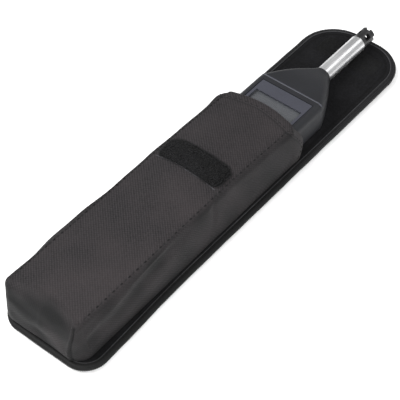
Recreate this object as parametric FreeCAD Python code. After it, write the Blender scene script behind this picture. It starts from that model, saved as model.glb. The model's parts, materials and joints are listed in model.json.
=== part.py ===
"""Belt pouch with a handheld probe meter half drawn out of it.

The pouch lies on its back with its flap opened out flat.  Millimetres, +Z up, +Y towards the
end of the flap.  The origin is under the middle of the whole outline, on the resting surface.
Every function returns one sub-part, and PARTS at the end names them all.
"""
import FreeCAD, Part
import math
import os

# Driving dimensions --------------------------------------------------------------------
TOTAL_LENGTH = 288.0          # bottom of the back panel to the end of the flap
PANEL_WIDTH = 62.0            # over the binding
MOUTH_Y = 36.0                # where the pocket opens
LOOP_WEBBING = 1.6            # belt loop webbing, which the pouch lies on
LOOP_GAP = 0.4                # slack between the webbing and the panel
CLOTH = 0.5                   # one layer of cloth or lining
STIFFENER = 2.0               # foam board inside the panel and the flap
BINDING_PROUD = 0.33          # binding tape above and below the panel
BINDING_WIDTH = 3.2
CLEAR = 0.3                   # kept between parts that move past each other

PANEL_Z = LOOP_WEBBING + LOOP_GAP                 # underside of the back panel
PANEL_TOP = PANEL_Z + 2 * CLOTH + STIFFENER       # lining that the meter lies on
PANEL_END = -TOTAL_LENGTH / 2
FLAP_END = TOTAL_LENGTH / 2
PANEL_HALF = PANEL_WIDTH / 2
PANEL_CORNER = 14.0
FLAP_CORNER = 24.0
FOLD_GAP = 0.6                # crease between the panel and the flap
FOLD_Y = MOUTH_Y + 1.5        # where the panel ends and the crease starts
BINDING_LAP = 0.8             # how far the layers stop inside the binding's outer edge

POCKET_WALL = 1.2
POCKET_HALF_BASE = 26.85      # gusset's outer face at the panel
POCKET_HALF_TOP = 23.85       # gusset's outer face at the top seam
POCKET_SEAM_Z = 29.6          # top edge of the gussets
POCKET_CROWN = 1.6            # rise of the front across its width
POCKET_END_BASE = -140.6      # outer face of the end wall at the panel
POCKET_END_TOP = -135.6       # and at the front
POCKET_CORNER = 9.0           # upright corners between the end wall and the gussets
POCKET_SPLIT_Y = -128.0       # side seams between the end wall and the gussets
MOUTH_SAG = 3.5               # the mouth dips back at the seams
MOUTH_BINDING = 0.45
MOUTH_BINDING_WIDTH = 5.0
SEAM_PLAY = 0.02              # between the binding and the cloth under it

PATCH_HALF = 20.0             # touch-fastener patch
PATCH_LENGTH = 16.0
PATCH_Y = MOUTH_Y - 57.5
PATCH_THICK = 1.3
HOOK_Y = MOUTH_Y + 88.0

LOOP_HALF = 20.0
LOOP_Y = (-58.0, 24.0)
LOOP_TAB = 8.0

METER_Z = PANEL_TOP + 2 * CLEAR + 0.1             # underside of the case
FACE_Z = 24.0
METER_X = 1.0                 # the meter lies a little to one side of its pocket
METER_END = -29.0             # lower end of the case
CASE_WALL = 1.8
CASE_HALF = 21.8
CASE_RADIUS_TOP = 4.2
CASE_RADIUS_BOTTOM = 2.4
PARTING_Z = 9.6
SHOULDER_Y = MOUTH_Y + 26.2   # where the case starts to narrow
NECK_Y = MOUTH_Y + 58.0       # where it ends
NECK_RADIUS = 5.6
PROBE_Z = 11.3
TUBE_RADIUS = 5.0
TUBE_BORE = 4.2
TUBE_Y = (MOUTH_Y + 44.0, MOUTH_Y + 94.0)
CLIP_GROOVE_Y = (TUBE_Y[0] + 1.0, TUBE_Y[0] + 2.0)
CLIP_DEPTH = 0.35             # groove's depth in the tube
CLIP_PLAY = 0.03
CLIP_RADIUS = 6.2

# Each station of the case: distance past the shoulder, half width, top height
SHOULDER = (
    (0.0, CASE_HALF, FACE_Z),
    (8.0, 18.6, FACE_Z - 0.9),
    (16.0, 14.6, FACE_Z - 2.5),
    (23.0, 10.6, FACE_Z - 4.5),
    (28.0, 7.5, FACE_Z - 6.1),
    (NECK_Y - SHOULDER_Y, NECK_RADIUS, PROBE_Z + NECK_RADIUS),
)

FRAME_HALF = 17.4             # recess around the display
FRAME_Y = (MOUTH_Y - 14.4, MOUTH_Y + 23.6)
FRAME_DEPTH = 1.1
FRAME_GROOVE = 0.4
WINDOW_HALF = 15.35
WINDOW_Y = (MOUTH_Y - 9.0, MOUTH_Y + 15.1)
LENS_HALF = 16.5
LENS_Y = (MOUTH_Y - 10.2, MOUTH_Y + 16.3)

BOARD_Z = 18.6
BOARD_THICK = 1.0
BOARD_TOP = BOARD_Z + BOARD_THICK
BOARD_HALF = 15.2
BOARD_Y = (METER_END + 5.0, MOUTH_Y + 24.0)

KEY_ROW_Y = MOUTH_Y - 23.5
KEY_SPACING = 12.0
POWER_KEY_Y = MOUTH_Y - 36.0
KEY_PROUD = 0.9
KEY_GAP = 0.25
KEY_FLANGE = 0.8

CASE_SCREWS = ((-17.8, METER_END + 5.0), (17.8, METER_END + 5.0),
               (-17.8, MOUTH_Y + 21.5), (17.8, MOUTH_Y + 21.5))
BOARD_SCREWS = ((-12.6, MOUTH_Y + 21.3), (12.6, MOUTH_Y + 21.3),
                (-11.0, METER_END + 18.5), (11.0, METER_END + 18.5))
SCREW_RADIUS = 1.0

CELL_RADIUS = 5.2
CELL_LENGTH = 44.0
CELL_X = 5.6
CELL_Y = METER_END + 7.0
CELL_Z = METER_Z + CASE_WALL + 0.15 + CELL_RADIUS
COVER_HALF = 12.6
COVER_Y = (METER_END + 3.4, METER_END + 61.0)
COVER_SCREW_Y = METER_END + 57.5

GUARD_Y = (TUBE_Y[1] + 0.15, TUBE_Y[1] + 11.0)
GUARD_RADIUS = 4.65
SLEEVE_RADIUS = 3.9
SLEEVE_BORE = 3.3
GUARD_PLAY = 0.05
GUARD_WINDOWS = 4
WINDOW_ANGLE = 42.0
WINDOW_SPAN = (TUBE_Y[1] + 2.9, TUBE_Y[1] + 7.2)


# Basic shapes ------------------------------------------------------------------------------
def block(x0, x1, y0, y1, z0, z1):
    """A box between two corners."""
    return Part.makeBox(x1 - x0, y1 - y0, z1 - z0, FreeCAD.Vector(x0, y0, z0))


def rod_y(radius, y0, y1, x=0.0, z=PROBE_Z):
    """A round bar along Y."""
    return Part.makeCylinder(radius, y1 - y0, FreeCAD.Vector(x, y0, z), FreeCAD.Vector(0, 1, 0))


def rod_z(radius, x, y, z0, z1):
    """A round bar along Z."""
    return Part.makeCylinder(radius, z1 - z0, FreeCAD.Vector(x, y, z0))


def prism(points, direction):
    """A closed polygon of (x, y, z) points pushed along a vector."""
    corners = [FreeCAD.Vector(*p) for p in points]
    face = Part.Face(Part.makePolygon(corners + corners[:1]))
    return face.extrude(FreeCAD.Vector(*direction))


def stadium(half_length, half_width, x, y, z0, z1):
    """An upright solid with a straight-sided, round-ended outline along X."""
    reach = half_length - half_width
    body = rod_z(half_width, x - reach, y, z0, z1)
    if reach > 0:
        body = body.fuse(rod_z(half_width, x + reach, y, z0, z1))
        body = body.fuse(block(x - reach, x + reach, y - half_width, y + half_width, z0, z1))
    return body.removeSplitter()


def joined(shapes):
    """Several solids fused into one, with the joins merged."""
    return shapes[0].multiFuse(shapes[1:]).removeSplitter()


def group(shapes):
    """Several separate solids kept as one node."""
    return Part.makeCompound(shapes)


# Pouch --------------------------------------------------------------------------------------
def panel_slab(half, y0, corner0, y1, corner1, z0, z1):
    """A flat sheet with round corners at either end; a corner of 0 leaves that end square."""
    slab = block(-half, half, y0, y1, z0, z1)
    edges = []
    for edge in slab.Edges:
        first, last = edge.Vertexes[0].Point, edge.Vertexes[-1].Point
        if abs(first.z - last.z) > (z1 - z0) / 2:
            if corner0 and abs(first.y - y0) < 0.01:
                edges.append((edge, corner0))
            if corner1 and abs(first.y - y1) < 0.01:
                edges.append((edge, corner1))
    for edge, radius in edges:
        match = [e for e in slab.Edges if e.CenterOfMass.isEqual(edge.CenterOfMass, 0.01)]
        slab = slab.makeFillet(radius, match)
    return slab


def root_slab(inset, z0, z1):
    """The back panel's outline, drawn in by an inset."""
    return panel_slab(PANEL_HALF - inset, PANEL_END + inset, PANEL_CORNER - inset,
                      FOLD_Y, 0.0, z0, z1)


def flap_slab(inset, z0, z1):
    """The flap's outline, drawn in by an inset."""
    return panel_slab(PANEL_HALF - inset, FOLD_Y + FOLD_GAP, 0.0,
                      FLAP_END - inset, FLAP_CORNER - inset, z0, z1)


def layer(outline, index):
    """Cloth (0), stiffener (1) or lining (2) of a padded panel."""
    heights = (PANEL_Z, PANEL_Z + CLOTH, PANEL_TOP - CLOTH, PANEL_TOP)
    return outline(BINDING_LAP, heights[index], heights[index + 1])


def binding(outline):
    """Tape folded over the panel's edge, a C in section."""
    tape = outline(0.0, PANEL_Z - BINDING_PROUD, PANEL_TOP + BINDING_PROUD)
    sign = -1 if outline is root_slab else 1
    middle = outline(BINDING_WIDTH, PANEL_Z - 1, PANEL_TOP + 1)
    opening = middle.fuse(middle.translated(FreeCAD.Vector(0, -sign * BINDING_WIDTH, 0)))
    return tape.cut(opening).cut(outline(BINDING_LAP, PANEL_Z, PANEL_TOP))


def pocket_outline(z, inset):
    """The pocket's outline seen from above at one height, open side squared off at the mouth."""
    share = (z - PANEL_TOP) / (POCKET_SEAM_Z - PANEL_TOP)
    half = POCKET_HALF_BASE + share * (POCKET_HALF_TOP - POCKET_HALF_BASE) - inset
    end = POCKET_END_BASE + share * (POCKET_END_TOP - POCKET_END_BASE) + inset
    radius = POCKET_CORNER - inset
    cut = radius * (1 - math.sqrt(0.5))

    def at(x, y):
        return FreeCAD.Vector(x, y, z)

    left = Part.Arc(at(-half, end + radius), at(cut - half, end + cut), at(radius - half, end))
    right = Part.Arc(at(half - radius, end), at(half - cut, end + cut), at(half, end + radius))
    return Part.Wire([
        Part.makeLine(at(-half, MOUTH_Y), at(-half, end + radius)), left.toShape(),
        Part.makeLine(at(radius - half, end), at(half - radius, end)), right.toShape(),
        Part.makeLine(at(half, end + radius), at(half, MOUTH_Y)),
        Part.makeLine(at(half, MOUTH_Y), at(-half, MOUTH_Y))])


def pocket_ring():
    """All the upright walls of the pocket in one, with the mouth end open."""
    outer, inner = [Part.makeLoft([pocket_outline(PANEL_TOP, inset),
                                   pocket_outline(POCKET_SEAM_Z, inset)], True, True)
                    for inset in (0.0, POCKET_WALL)]
    clear = inner.common(block(-PANEL_HALF, PANEL_HALF, POCKET_END_BASE, MOUTH_Y + 1, 0, 2 * FACE_Z))
    return outer.cut(clear)


def gusset(side):
    """A side wall of the pocket, leaning in from the panel to the top seam."""
    low, high = sorted((0.0, side * PANEL_WIDTH))
    half_space = block(low, high, POCKET_SPLIT_Y, MOUTH_Y + 1, PANEL_TOP, POCKET_SEAM_Z)
    reach = PANEL_WIDTH
    mouth_cut = prism([(-reach, MOUTH_Y, PANEL_TOP), (-reach, MOUTH_Y + reach, PANEL_TOP),
                       (-reach, MOUTH_Y + reach, POCKET_SEAM_Z),
                       (-reach, MOUTH_Y - MOUTH_SAG, POCKET_SEAM_Z)], (2 * reach, 0, 0))
    return pocket_ring().common(half_space).cut(mouth_cut)


def pocket_end():
    """The end wall with its two round corners."""
    return pocket_ring().common(block(-PANEL_HALF, PANEL_HALF, PANEL_END, POCKET_SPLIT_Y,
                                      PANEL_TOP, POCKET_SEAM_Z))


def crown_radius():
    """Radius of the front's outer face across its width."""
    return (POCKET_HALF_TOP ** 2 + POCKET_CROWN ** 2) / (2 * POCKET_CROWN)


def crowned_sheet(inner, outer, half, y0, y1):
    """A sheet between two heights above the front's outer face, cut to a half width."""
    radius = crown_radius()
    centre = POCKET_SEAM_Z + POCKET_WALL + POCKET_CROWN - radius
    sheet = rod_y(radius + outer, y0, y1, 0.0, centre)
    sheet = sheet.cut(rod_y(radius + inner, y0 - 1, y1 + 1, 0.0, centre))
    return sheet.common(block(-half, half, y0, y1, PANEL_TOP, 2 * FACE_Z))


def mouth_plan(y0, offset=0.0):
    """Everything behind the mouth's curved edge, seen from above."""
    half = PANEL_HALF
    edge_y = MOUTH_Y + offset
    sag = MOUTH_SAG * (half / POCKET_HALF_TOP) ** 2
    left = FreeCAD.Vector(-half, edge_y - sag, 0)
    right = FreeCAD.Vector(half, edge_y - sag, 0)
    arc = Part.Arc(left, FreeCAD.Vector(0, edge_y, 0), right).toShape()
    back_right = FreeCAD.Vector(half, y0, 0)
    back_left = FreeCAD.Vector(-half, y0, 0)
    sides = [arc, Part.makeLine(right, back_right), Part.makeLine(back_right, back_left),
             Part.makeLine(back_left, left)]
    return Part.Face(Part.Wire(sides)).extrude(FreeCAD.Vector(0, 0, 2 * FACE_Z))


def pocket_front():
    """The crowned front of the pocket."""
    sheet = crowned_sheet(-POCKET_WALL, 0.0, POCKET_HALF_TOP, POCKET_END_TOP, MOUTH_Y)
    ends = panel_slab(POCKET_HALF_TOP, POCKET_END_TOP, POCKET_CORNER, MOUTH_Y, 0.0, 0.0, 2 * FACE_Z)
    return sheet.common(mouth_plan(POCKET_END_TOP - 1)).common(ends)


def mouth_binding():
    """Tape round the outside of the mouth, over the front and both gussets."""
    start = MOUTH_Y - MOUTH_BINDING_WIDTH
    width = MOUTH_BINDING_WIDTH
    over_front = crowned_sheet(SEAM_PLAY, MOUTH_BINDING, POCKET_HALF_TOP + MOUTH_BINDING,
                               start - MOUTH_SAG, MOUTH_Y)
    over_front = over_front.common(mouth_plan(start - 2 * MOUTH_SAG))
    over_front = over_front.cut(mouth_plan(start - 3 * MOUTH_SAG, -width))
    pieces = [over_front]
    rise = POCKET_SEAM_Z + POCKET_WALL + 0.2 - PANEL_TOP
    lean = (POCKET_HALF_BASE - POCKET_HALF_TOP) / (POCKET_SEAM_Z - PANEL_TOP) * rise
    back = MOUTH_SAG / (POCKET_SEAM_Z - PANEL_TOP) * rise
    for side in (-1, 1):
        inner = POCKET_HALF_BASE + SEAM_PLAY
        outer = POCKET_HALF_BASE + MOUTH_BINDING + SEAM_PLAY
        strip = prism([(side * inner, start - MOUTH_SAG, PANEL_TOP),
                       (side * outer, start - MOUTH_SAG, PANEL_TOP),
                       (side * (outer - lean), start - MOUTH_SAG, PANEL_TOP + rise),
                       (side * (inner - lean), start - MOUTH_SAG, PANEL_TOP + rise)],
                      (0, width + MOUTH_SAG, 0))
        reach = PANEL_WIDTH
        front = block(-POCKET_HALF_TOP - SEAM_PLAY, POCKET_HALF_TOP + SEAM_PLAY,
                      start - MOUTH_SAG - 1, MOUTH_Y + 1, PANEL_TOP, 2 * FACE_Z)
        side_view = prism([(-reach, start, PANEL_TOP), (-reach, MOUTH_Y, PANEL_TOP),
                           (-reach, MOUTH_Y - back, PANEL_TOP + rise),
                           (-reach, start - back, PANEL_TOP + rise)], (2 * reach, 0, 0))
        pieces.append(strip.common(side_view).cut(front))
    return joined(pieces)


def loop_patch():
    """Soft half of the touch fastener, sewn on the front."""
    return crowned_sheet(0.0, PATCH_THICK, PATCH_HALF,
                         PATCH_Y - PATCH_LENGTH / 2, PATCH_Y + PATCH_LENGTH / 2)


def hook_strip():
    """Hook half of the touch fastener, sewn on the flap's lining under the probe."""
    return block(-PATCH_HALF, PATCH_HALF, HOOK_Y - PATCH_LENGTH / 2, HOOK_Y + PATCH_LENGTH / 2,
                 PANEL_TOP, PANEL_TOP + CLEAR)


def belt_loop():
    """Webbing strap under the panel, sewn at both ends, that a belt passes through."""
    strap = block(-LOOP_HALF, LOOP_HALF, LOOP_Y[0], LOOP_Y[1], 0.0, LOOP_WEBBING)
    tabs = [block(-LOOP_HALF, LOOP_HALF, y0, y0 + LOOP_TAB, LOOP_WEBBING, PANEL_Z)
            for y0 in (LOOP_Y[0], LOOP_Y[1] - LOOP_TAB)]
    return joined([strap] + tabs)


# Meter case ------------------------------------------------------------------------------------
def case_section(y, half, bottom, top, radius_bottom, radius_top):
    """A round-cornered outline across the case at one station."""
    low = min(radius_bottom, half - 0.05, (top - bottom) / 2 - 0.05)
    high = min(radius_top, half - 0.05, (top - bottom) / 2 - 0.05)
    cut = 1 - math.sqrt(0.5)

    def at(x, z):
        return FreeCAD.Vector(x, y, z)

    arcs = [
        (at(half - low, bottom), at(half - low * cut, bottom + low * cut), at(half, bottom + low)),
        (at(half, top - high), at(half - high * cut, top - high * cut), at(half - high, top)),
        (at(high - half, top), at(high * cut - half, top - high * cut), at(-half, top - high)),
        (at(-half, bottom + low), at(low * cut - half, bottom + low * cut), at(low - half, bottom)),
    ]
    edges = []
    for index, (start, middle, end) in enumerate(arcs):
        edges.append(Part.Arc(start, middle, end).toShape())
        edges.append(Part.makeLine(end, arcs[(index + 1) % 4][0]))
    return Part.Wire(edges)


def case_solid(inset):
    """The whole case as one solid, drawn in by an inset: straight body and lofted shoulder."""
    sections = []
    for past, half, top in SHOULDER:
        share = past / (NECK_Y - SHOULDER_Y)
        grow = (NECK_RADIUS - 0.35) * share ** 2
        sections.append(case_section(
            SHOULDER_Y + past, half - inset, METER_Z + inset, top - inset,
            max(CASE_RADIUS_BOTTOM * (1 - share ** 2) + grow - inset, 0.6),
            max(CASE_RADIUS_TOP * (1 - share ** 2) + grow - inset, 0.6)))
    shoulder = Part.makeLoft(sections, True, False)
    end = case_section(METER_END + inset, CASE_HALF - inset, METER_Z + inset, FACE_Z - inset,
                       max(CASE_RADIUS_BOTTOM - inset, 0.6), max(CASE_RADIUS_TOP - inset, 0.6))
    body = Part.Face(end).extrude(FreeCAD.Vector(0, SHOULDER_Y - METER_END - inset, 0))
    return body, shoulder


def case_shell():
    """The hollow case, with a bore for the probe through the neck."""
    outer_body, outer_shoulder = case_solid(0.0)
    inner_body, inner_shoulder = case_solid(CASE_WALL)
    end_edges = [e for e in outer_body.Edges
                 if abs(e.Vertexes[0].Point.y - METER_END) < 0.01
                 and abs(e.Vertexes[-1].Point.y - METER_END) < 0.01]
    outer_body = outer_body.makeFillet(1.6, end_edges)
    outer = outer_body.fuse(outer_shoulder)
    solid_neck = block(-PANEL_HALF, PANEL_HALF, NECK_Y - 12.0, NECK_Y + 1, 0, FACE_Z)
    inner = inner_body.fuse(inner_shoulder.cut(solid_neck))
    shell = outer.cut(inner)
    return shell.cut(rod_y(TUBE_RADIUS + 0.03, TUBE_Y[0] - 1, NECK_Y + 1))


def front_housing():
    """Upper half of the case with its display recess, key holes and screw posts."""
    shell = case_shell().common(block(-PANEL_HALF, PANEL_HALF, METER_END - 1, NECK_Y + 1,
                                      PARTING_Z, FACE_Z + 1))
    inside = FACE_Z - CASE_WALL
    posts = [rod_z(2.4, x, y, PARTING_Z, inside + 0.2) for x, y in CASE_SCREWS]
    posts += [rod_z(1.8, x, y, BOARD_TOP, inside + 0.2) for x, y in BOARD_SCREWS]
    shell = joined([shell] + posts)
    shell = shell.cut(block(-FRAME_HALF, FRAME_HALF, FRAME_Y[0], FRAME_Y[1],
                            FACE_Z - FRAME_DEPTH, FACE_Z + 1))
    shell = shell.cut(block(-LENS_HALF - 0.2, LENS_HALF + 0.2, LENS_Y[0] - 0.2, LENS_Y[1] + 0.2,
                            inside - 0.5, FACE_Z + 1))
    for x, y, half_length, half_width in KEYS.values():
        shell = shell.cut(stadium(half_length + KEY_GAP, half_width + KEY_GAP, x, y,
                                  inside - 1, FACE_Z + 1))
    for x, y in CASE_SCREWS:
        shell = shell.cut(rod_z(SCREW_RADIUS + 0.02, x, y, PARTING_Z - 1, PARTING_Z + 8.2))
    for x, y in BOARD_SCREWS:
        shell = shell.cut(rod_z(SCREW_RADIUS * 0.8 + 0.02, x, y, BOARD_TOP - 1, BOARD_TOP + 2.2))
    return shell


def rear_housing():
    """Lower half of the case with the battery opening and counterbored screw bosses."""
    shell = case_shell().common(block(-PANEL_HALF, PANEL_HALF, METER_END - 1, NECK_Y + 1,
                                      0, PARTING_Z - 0.05))
    floor = METER_Z + CASE_WALL
    bosses = [rod_z(3.0, x, y, METER_Z + 0.9, PARTING_Z - 0.05) for x, y in CASE_SCREWS]
    shell = shell.cut(block(-COVER_HALF, COVER_HALF, COVER_Y[0], COVER_Y[1], 0, floor + 1))
    ledge = block(-3.2, 3.2, COVER_SCREW_Y - 2.4, COVER_Y[1] + 1.0, floor + 0.05, floor + 3.0)
    shell = joined([shell] + bosses + [ledge, block(-3.2, 3.2, COVER_Y[1], COVER_Y[1] + 1.0,
                                                    floor - 0.5, floor + 0.1)])
    for x, y in CASE_SCREWS:
        shell = shell.cut(rod_z(2.3, x, y, 0, METER_Z + 2.2))
        shell = shell.cut(rod_z(SCREW_RADIUS + 0.15, x, y, 0, PARTING_Z + 1))
    return shell.cut(rod_z(SCREW_RADIUS + 0.02, 0, COVER_SCREW_Y, floor, floor + 2.6))


def battery_cover():
    """Flush door in the back of the case, held by one screw."""
    floor = METER_Z + CASE_WALL
    door = block(-COVER_HALF + 0.15, COVER_HALF - 0.15, COVER_Y[0] + 0.15, COVER_Y[1] - 0.15,
                 METER_Z, floor)
    for rib in range(4):
        y = COVER_Y[0] + 6.0 + 2.4 * rib
        door = door.cut(block(-6, 6, y, y + 1.0, METER_Z - 1, METER_Z + 0.5))
    door = door.cut(rod_z(2.3, 0, COVER_SCREW_Y, 0, METER_Z + 1.0))
    return door.cut(rod_z(SCREW_RADIUS + 0.15, 0, COVER_SCREW_Y, 0, floor + 1))


def screw(x, y, head_z, head_radius, head_height, shank, length):
    """A pan-head screw pointing up, with a cross recess in its head."""
    body = rod_z(head_radius, x, y, head_z, head_z + head_height)
    body = body.fuse(rod_z(shank, x, y, head_z + head_height - 0.01, head_z + head_height + length))
    arm, half = head_radius * 0.6, head_radius * 0.14
    for long_x, long_y in ((arm, half), (half, arm)):
        body = body.cut(block(x - long_x, x + long_x, y - long_y, y + long_y,
                              head_z - 1, head_z + head_height * 0.55))
    return body.removeSplitter()


def case_screws():
    """Four screws that hold the two halves of the case."""
    head_z = METER_Z + 0.8
    return group([screw(x, y, head_z, 2.1, 1.35, SCREW_RADIUS, 8.6) for x, y in CASE_SCREWS])


def board_screws():
    """Four small screws that hold the circuit board up to the front's posts."""
    return group([screw(x, y, BOARD_Z - 0.9, 1.6, 0.85, SCREW_RADIUS * 0.8, 3.0)
                  for x, y in BOARD_SCREWS])


def battery_cover_screw():
    """The screw in the battery door."""
    return screw(0, COVER_SCREW_Y, METER_Z + 0.05, 2.1, 0.9, SCREW_RADIUS, 3.2)


# Display and keys ---------------------------------------------------------------------------------
def display_bezel():
    """Plate set into the face, with the display's opening."""
    top = FACE_Z - 0.1
    plate = block(-FRAME_HALF + FRAME_GROOVE, FRAME_HALF - FRAME_GROOVE,
                  FRAME_Y[0] + FRAME_GROOVE, FRAME_Y[1] - FRAME_GROOVE,
                  FACE_Z - FRAME_DEPTH, top)
    return plate.cut(block(-WINDOW_HALF, WINDOW_HALF, WINDOW_Y[0], WINDOW_Y[1],
                           FACE_Z - FRAME_DEPTH - 1, FACE_Z))


def display_window():
    """Clear window behind the bezel."""
    top = FACE_Z - FRAME_DEPTH
    return block(-LENS_HALF, LENS_HALF, LENS_Y[0], LENS_Y[1], top - 0.65, top)


def display_glass():
    """Liquid-crystal display."""
    top = FACE_Z - FRAME_DEPTH - 0.75
    return block(-LENS_HALF - 0.4, LENS_HALF + 0.4, LENS_Y[0] - 1.4, LENS_Y[1] + 0.6,
                 top - 1.6, top)


def display_holder():
    """Frame that stands the display off the board."""
    top = FACE_Z - FRAME_DEPTH - 2.35
    ring = block(-LENS_HALF - 0.4, LENS_HALF + 0.4, LENS_Y[0] - 1.4, LENS_Y[1] + 0.6,
                 BOARD_TOP, top)
    return ring.cut(block(-LENS_HALF + 2.6, LENS_HALF - 2.6, LENS_Y[0] + 1.6, LENS_Y[1] - 2.4,
                          BOARD_TOP - 1, top + 1))


def key(name):
    """A key cap with the flange that keeps it behind the face."""
    x, y, half_length, half_width = KEYS[name]
    inside = FACE_Z - CASE_WALL
    bottom = inside - 1.25
    cap = stadium(half_length, half_width, x, y, bottom, FACE_Z + KEY_PROUD)
    rim = [e for e in cap.Edges if e.BoundBox.ZMin > FACE_Z + KEY_PROUD - 0.01]
    cap = cap.makeFillet(0.7, rim)
    flange = stadium(half_length + KEY_FLANGE, half_width + KEY_FLANGE, x, y, bottom, bottom + 0.95)
    return joined([cap, flange])


def key_mat():
    """Rubber switch sheet on the board under the keys."""
    return block(-BOARD_HALF, BOARD_HALF, POWER_KEY_Y - 7.5, KEY_ROW_Y + 5.5,
                 BOARD_TOP, BOARD_TOP + 0.5)


KEYS = {
    "key_hold": (-KEY_SPACING, KEY_ROW_Y, 4.6, 2.9),
    "key_units": (0.0, KEY_ROW_Y, 4.6, 2.9),
    "key_max_min": (KEY_SPACING, KEY_ROW_Y, 4.6, 2.9),
    "key_power": (0.0, POWER_KEY_Y, 4.8, 4.8),
}


# Electronics --------------------------------------------------------------------------------------
def circuit_board():
    """Main board with its screw holes."""
    board = block(-BOARD_HALF, BOARD_HALF, BOARD_Y[0], BOARD_Y[1], BOARD_Z, BOARD_TOP)
    for x, y in BOARD_SCREWS:
        board = board.cut(rod_z(SCREW_RADIUS * 0.8 + 0.1, x, y, BOARD_Z - 1, BOARD_TOP + 1))
    return board


def microcontroller():
    """Processor under the board."""
    return block(-10.0, -1.0, MOUTH_Y + 2.0, MOUTH_Y + 11.0, BOARD_Z - 1.4, BOARD_Z)


def buzzer():
    """Round sounder under the board."""
    return rod_z(5.0, 7.5, MOUTH_Y + 8.0, BOARD_Z - 5.0, BOARD_Z)


def board_parts():
    """Regulator, crystal and capacitors under the board."""
    spots = ((-9.0, 15.0, 3.0, 1.8, 1.5), (-3.5, 15.5, 2.2, 1.2, 1.1), (1.5, 15.5, 1.2, 0.7, 0.8),
             (4.2, 15.5, 1.2, 0.7, 0.8), (-12.0, 5.0, 0.7, 1.2, 0.8), (-12.0, 8.5, 0.7, 1.2, 0.8))
    return group([block(x - a, x + a, MOUTH_Y + y - b, MOUTH_Y + y + b, BOARD_Z - h, BOARD_Z)
                  for x, y, a, b, h in spots])


def battery_cells():
    """Two AAA cells side by side, head to tail."""
    cells = []
    for side in (-1, 1):
        can = rod_y(CELL_RADIUS, CELL_Y, CELL_Y + CELL_LENGTH - 1.0, side * CELL_X, CELL_Z)
        tip = rod_y(1.9, CELL_Y + CELL_LENGTH - 1.01, CELL_Y + CELL_LENGTH, side * CELL_X, CELL_Z)
        cell = can.fuse(tip).removeSplitter()
        if side > 0:
            middle = FreeCAD.Vector(side * CELL_X, CELL_Y + CELL_LENGTH / 2, CELL_Z)
            cell.rotate(middle, FreeCAD.Vector(0, 0, 1), 180)
        cells.append(cell)
    return group(cells)


def battery_contacts():
    """Sprung plates at both ends of the cells."""
    plates = []
    for y, out in ((CELL_Y - 1.2, 1), (CELL_Y + CELL_LENGTH + 1.2, -1)):
        low, high = sorted((y, y - out * 0.5))
        plate = block(-11.0, 11.0, low, high, CELL_Z - 4.4, CELL_Z + 4.4)
        for side in (-1, 1):
            a, b = sorted((y - out * 0.01, y + out * 1.1))
            plate = plate.fuse(rod_y(2.4, a, b, side * CELL_X, CELL_Z))
        plates.append(plate.removeSplitter())
    return group(plates)


# Probe --------------------------------------------------------------------------------------------
def probe_tube():
    """Bright metal tube held in the neck, with the clip's groove near its inner end."""
    tube = rod_y(TUBE_RADIUS, TUBE_Y[0], TUBE_Y[1])
    tube = tube.cut(rod_y(TUBE_BORE, TUBE_Y[0] - 1, TUBE_Y[1] + 1))
    groove = rod_y(TUBE_RADIUS + 1, CLIP_GROOVE_Y[0], CLIP_GROOVE_Y[1])
    groove = groove.cut(rod_y(TUBE_RADIUS - CLIP_DEPTH, TUBE_Y[0], TUBE_Y[0] + 3.0))
    return tube.cut(groove)


def retaining_ring():
    """Horseshoe spring clip in the tube's groove, open over the floor of the case."""
    y0, y1 = CLIP_GROOVE_Y[0] + CLIP_PLAY, CLIP_GROOVE_Y[1] - CLIP_PLAY
    ring = rod_y(CLIP_RADIUS, y0, y1)
    ring = ring.cut(rod_y(TUBE_RADIUS - CLIP_DEPTH + CLIP_PLAY, y0 - 1, y1 + 1))
    floor = METER_Z + CASE_WALL + CLEAR
    return ring.cut(block(-PANEL_HALF, PANEL_HALF, y0 - 1, y1 + 1, 0, floor))


def sector(radius, y0, y1, centre_angle, width_angle):
    """A wedge about the probe's axis, for cutting windows."""
    reach = 3 * radius
    half = math.radians(width_angle / 2)
    mid = math.radians(centre_angle)
    corners = [(0.0, y0, PROBE_Z)]
    for angle in (mid - half, mid, mid + half):
        corners.append((reach * math.cos(angle), y0, PROBE_Z + reach * math.sin(angle)))
    return prism(corners, (0, y1 - y0, 0))


def sensor_sleeve():
    """Plug in the tube's end, with the slotted sleeve that the guard turns on."""
    plug = rod_y(TUBE_BORE - 0.01, TUBE_Y[1] - 6.0, TUBE_Y[1])
    sleeve = rod_y(SLEEVE_RADIUS, TUBE_Y[1] - 0.01, WINDOW_SPAN[1] + 0.6)
    ridge = rod_y(SLEEVE_RADIUS + 0.2, GUARD_Y[0] + 1.0, GUARD_Y[0] + 1.7)
    body = joined([plug, sleeve, ridge])
    body = body.cut(rod_y(SLEEVE_BORE, TUBE_Y[1] - 7.0, WINDOW_SPAN[1] + 1))
    for index in range(GUARD_WINDOWS):
        body = body.cut(sector(SLEEVE_RADIUS, WINDOW_SPAN[0], WINDOW_SPAN[1],
                               45.0 + 90.0 * index, WINDOW_ANGLE))
    return body


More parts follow.
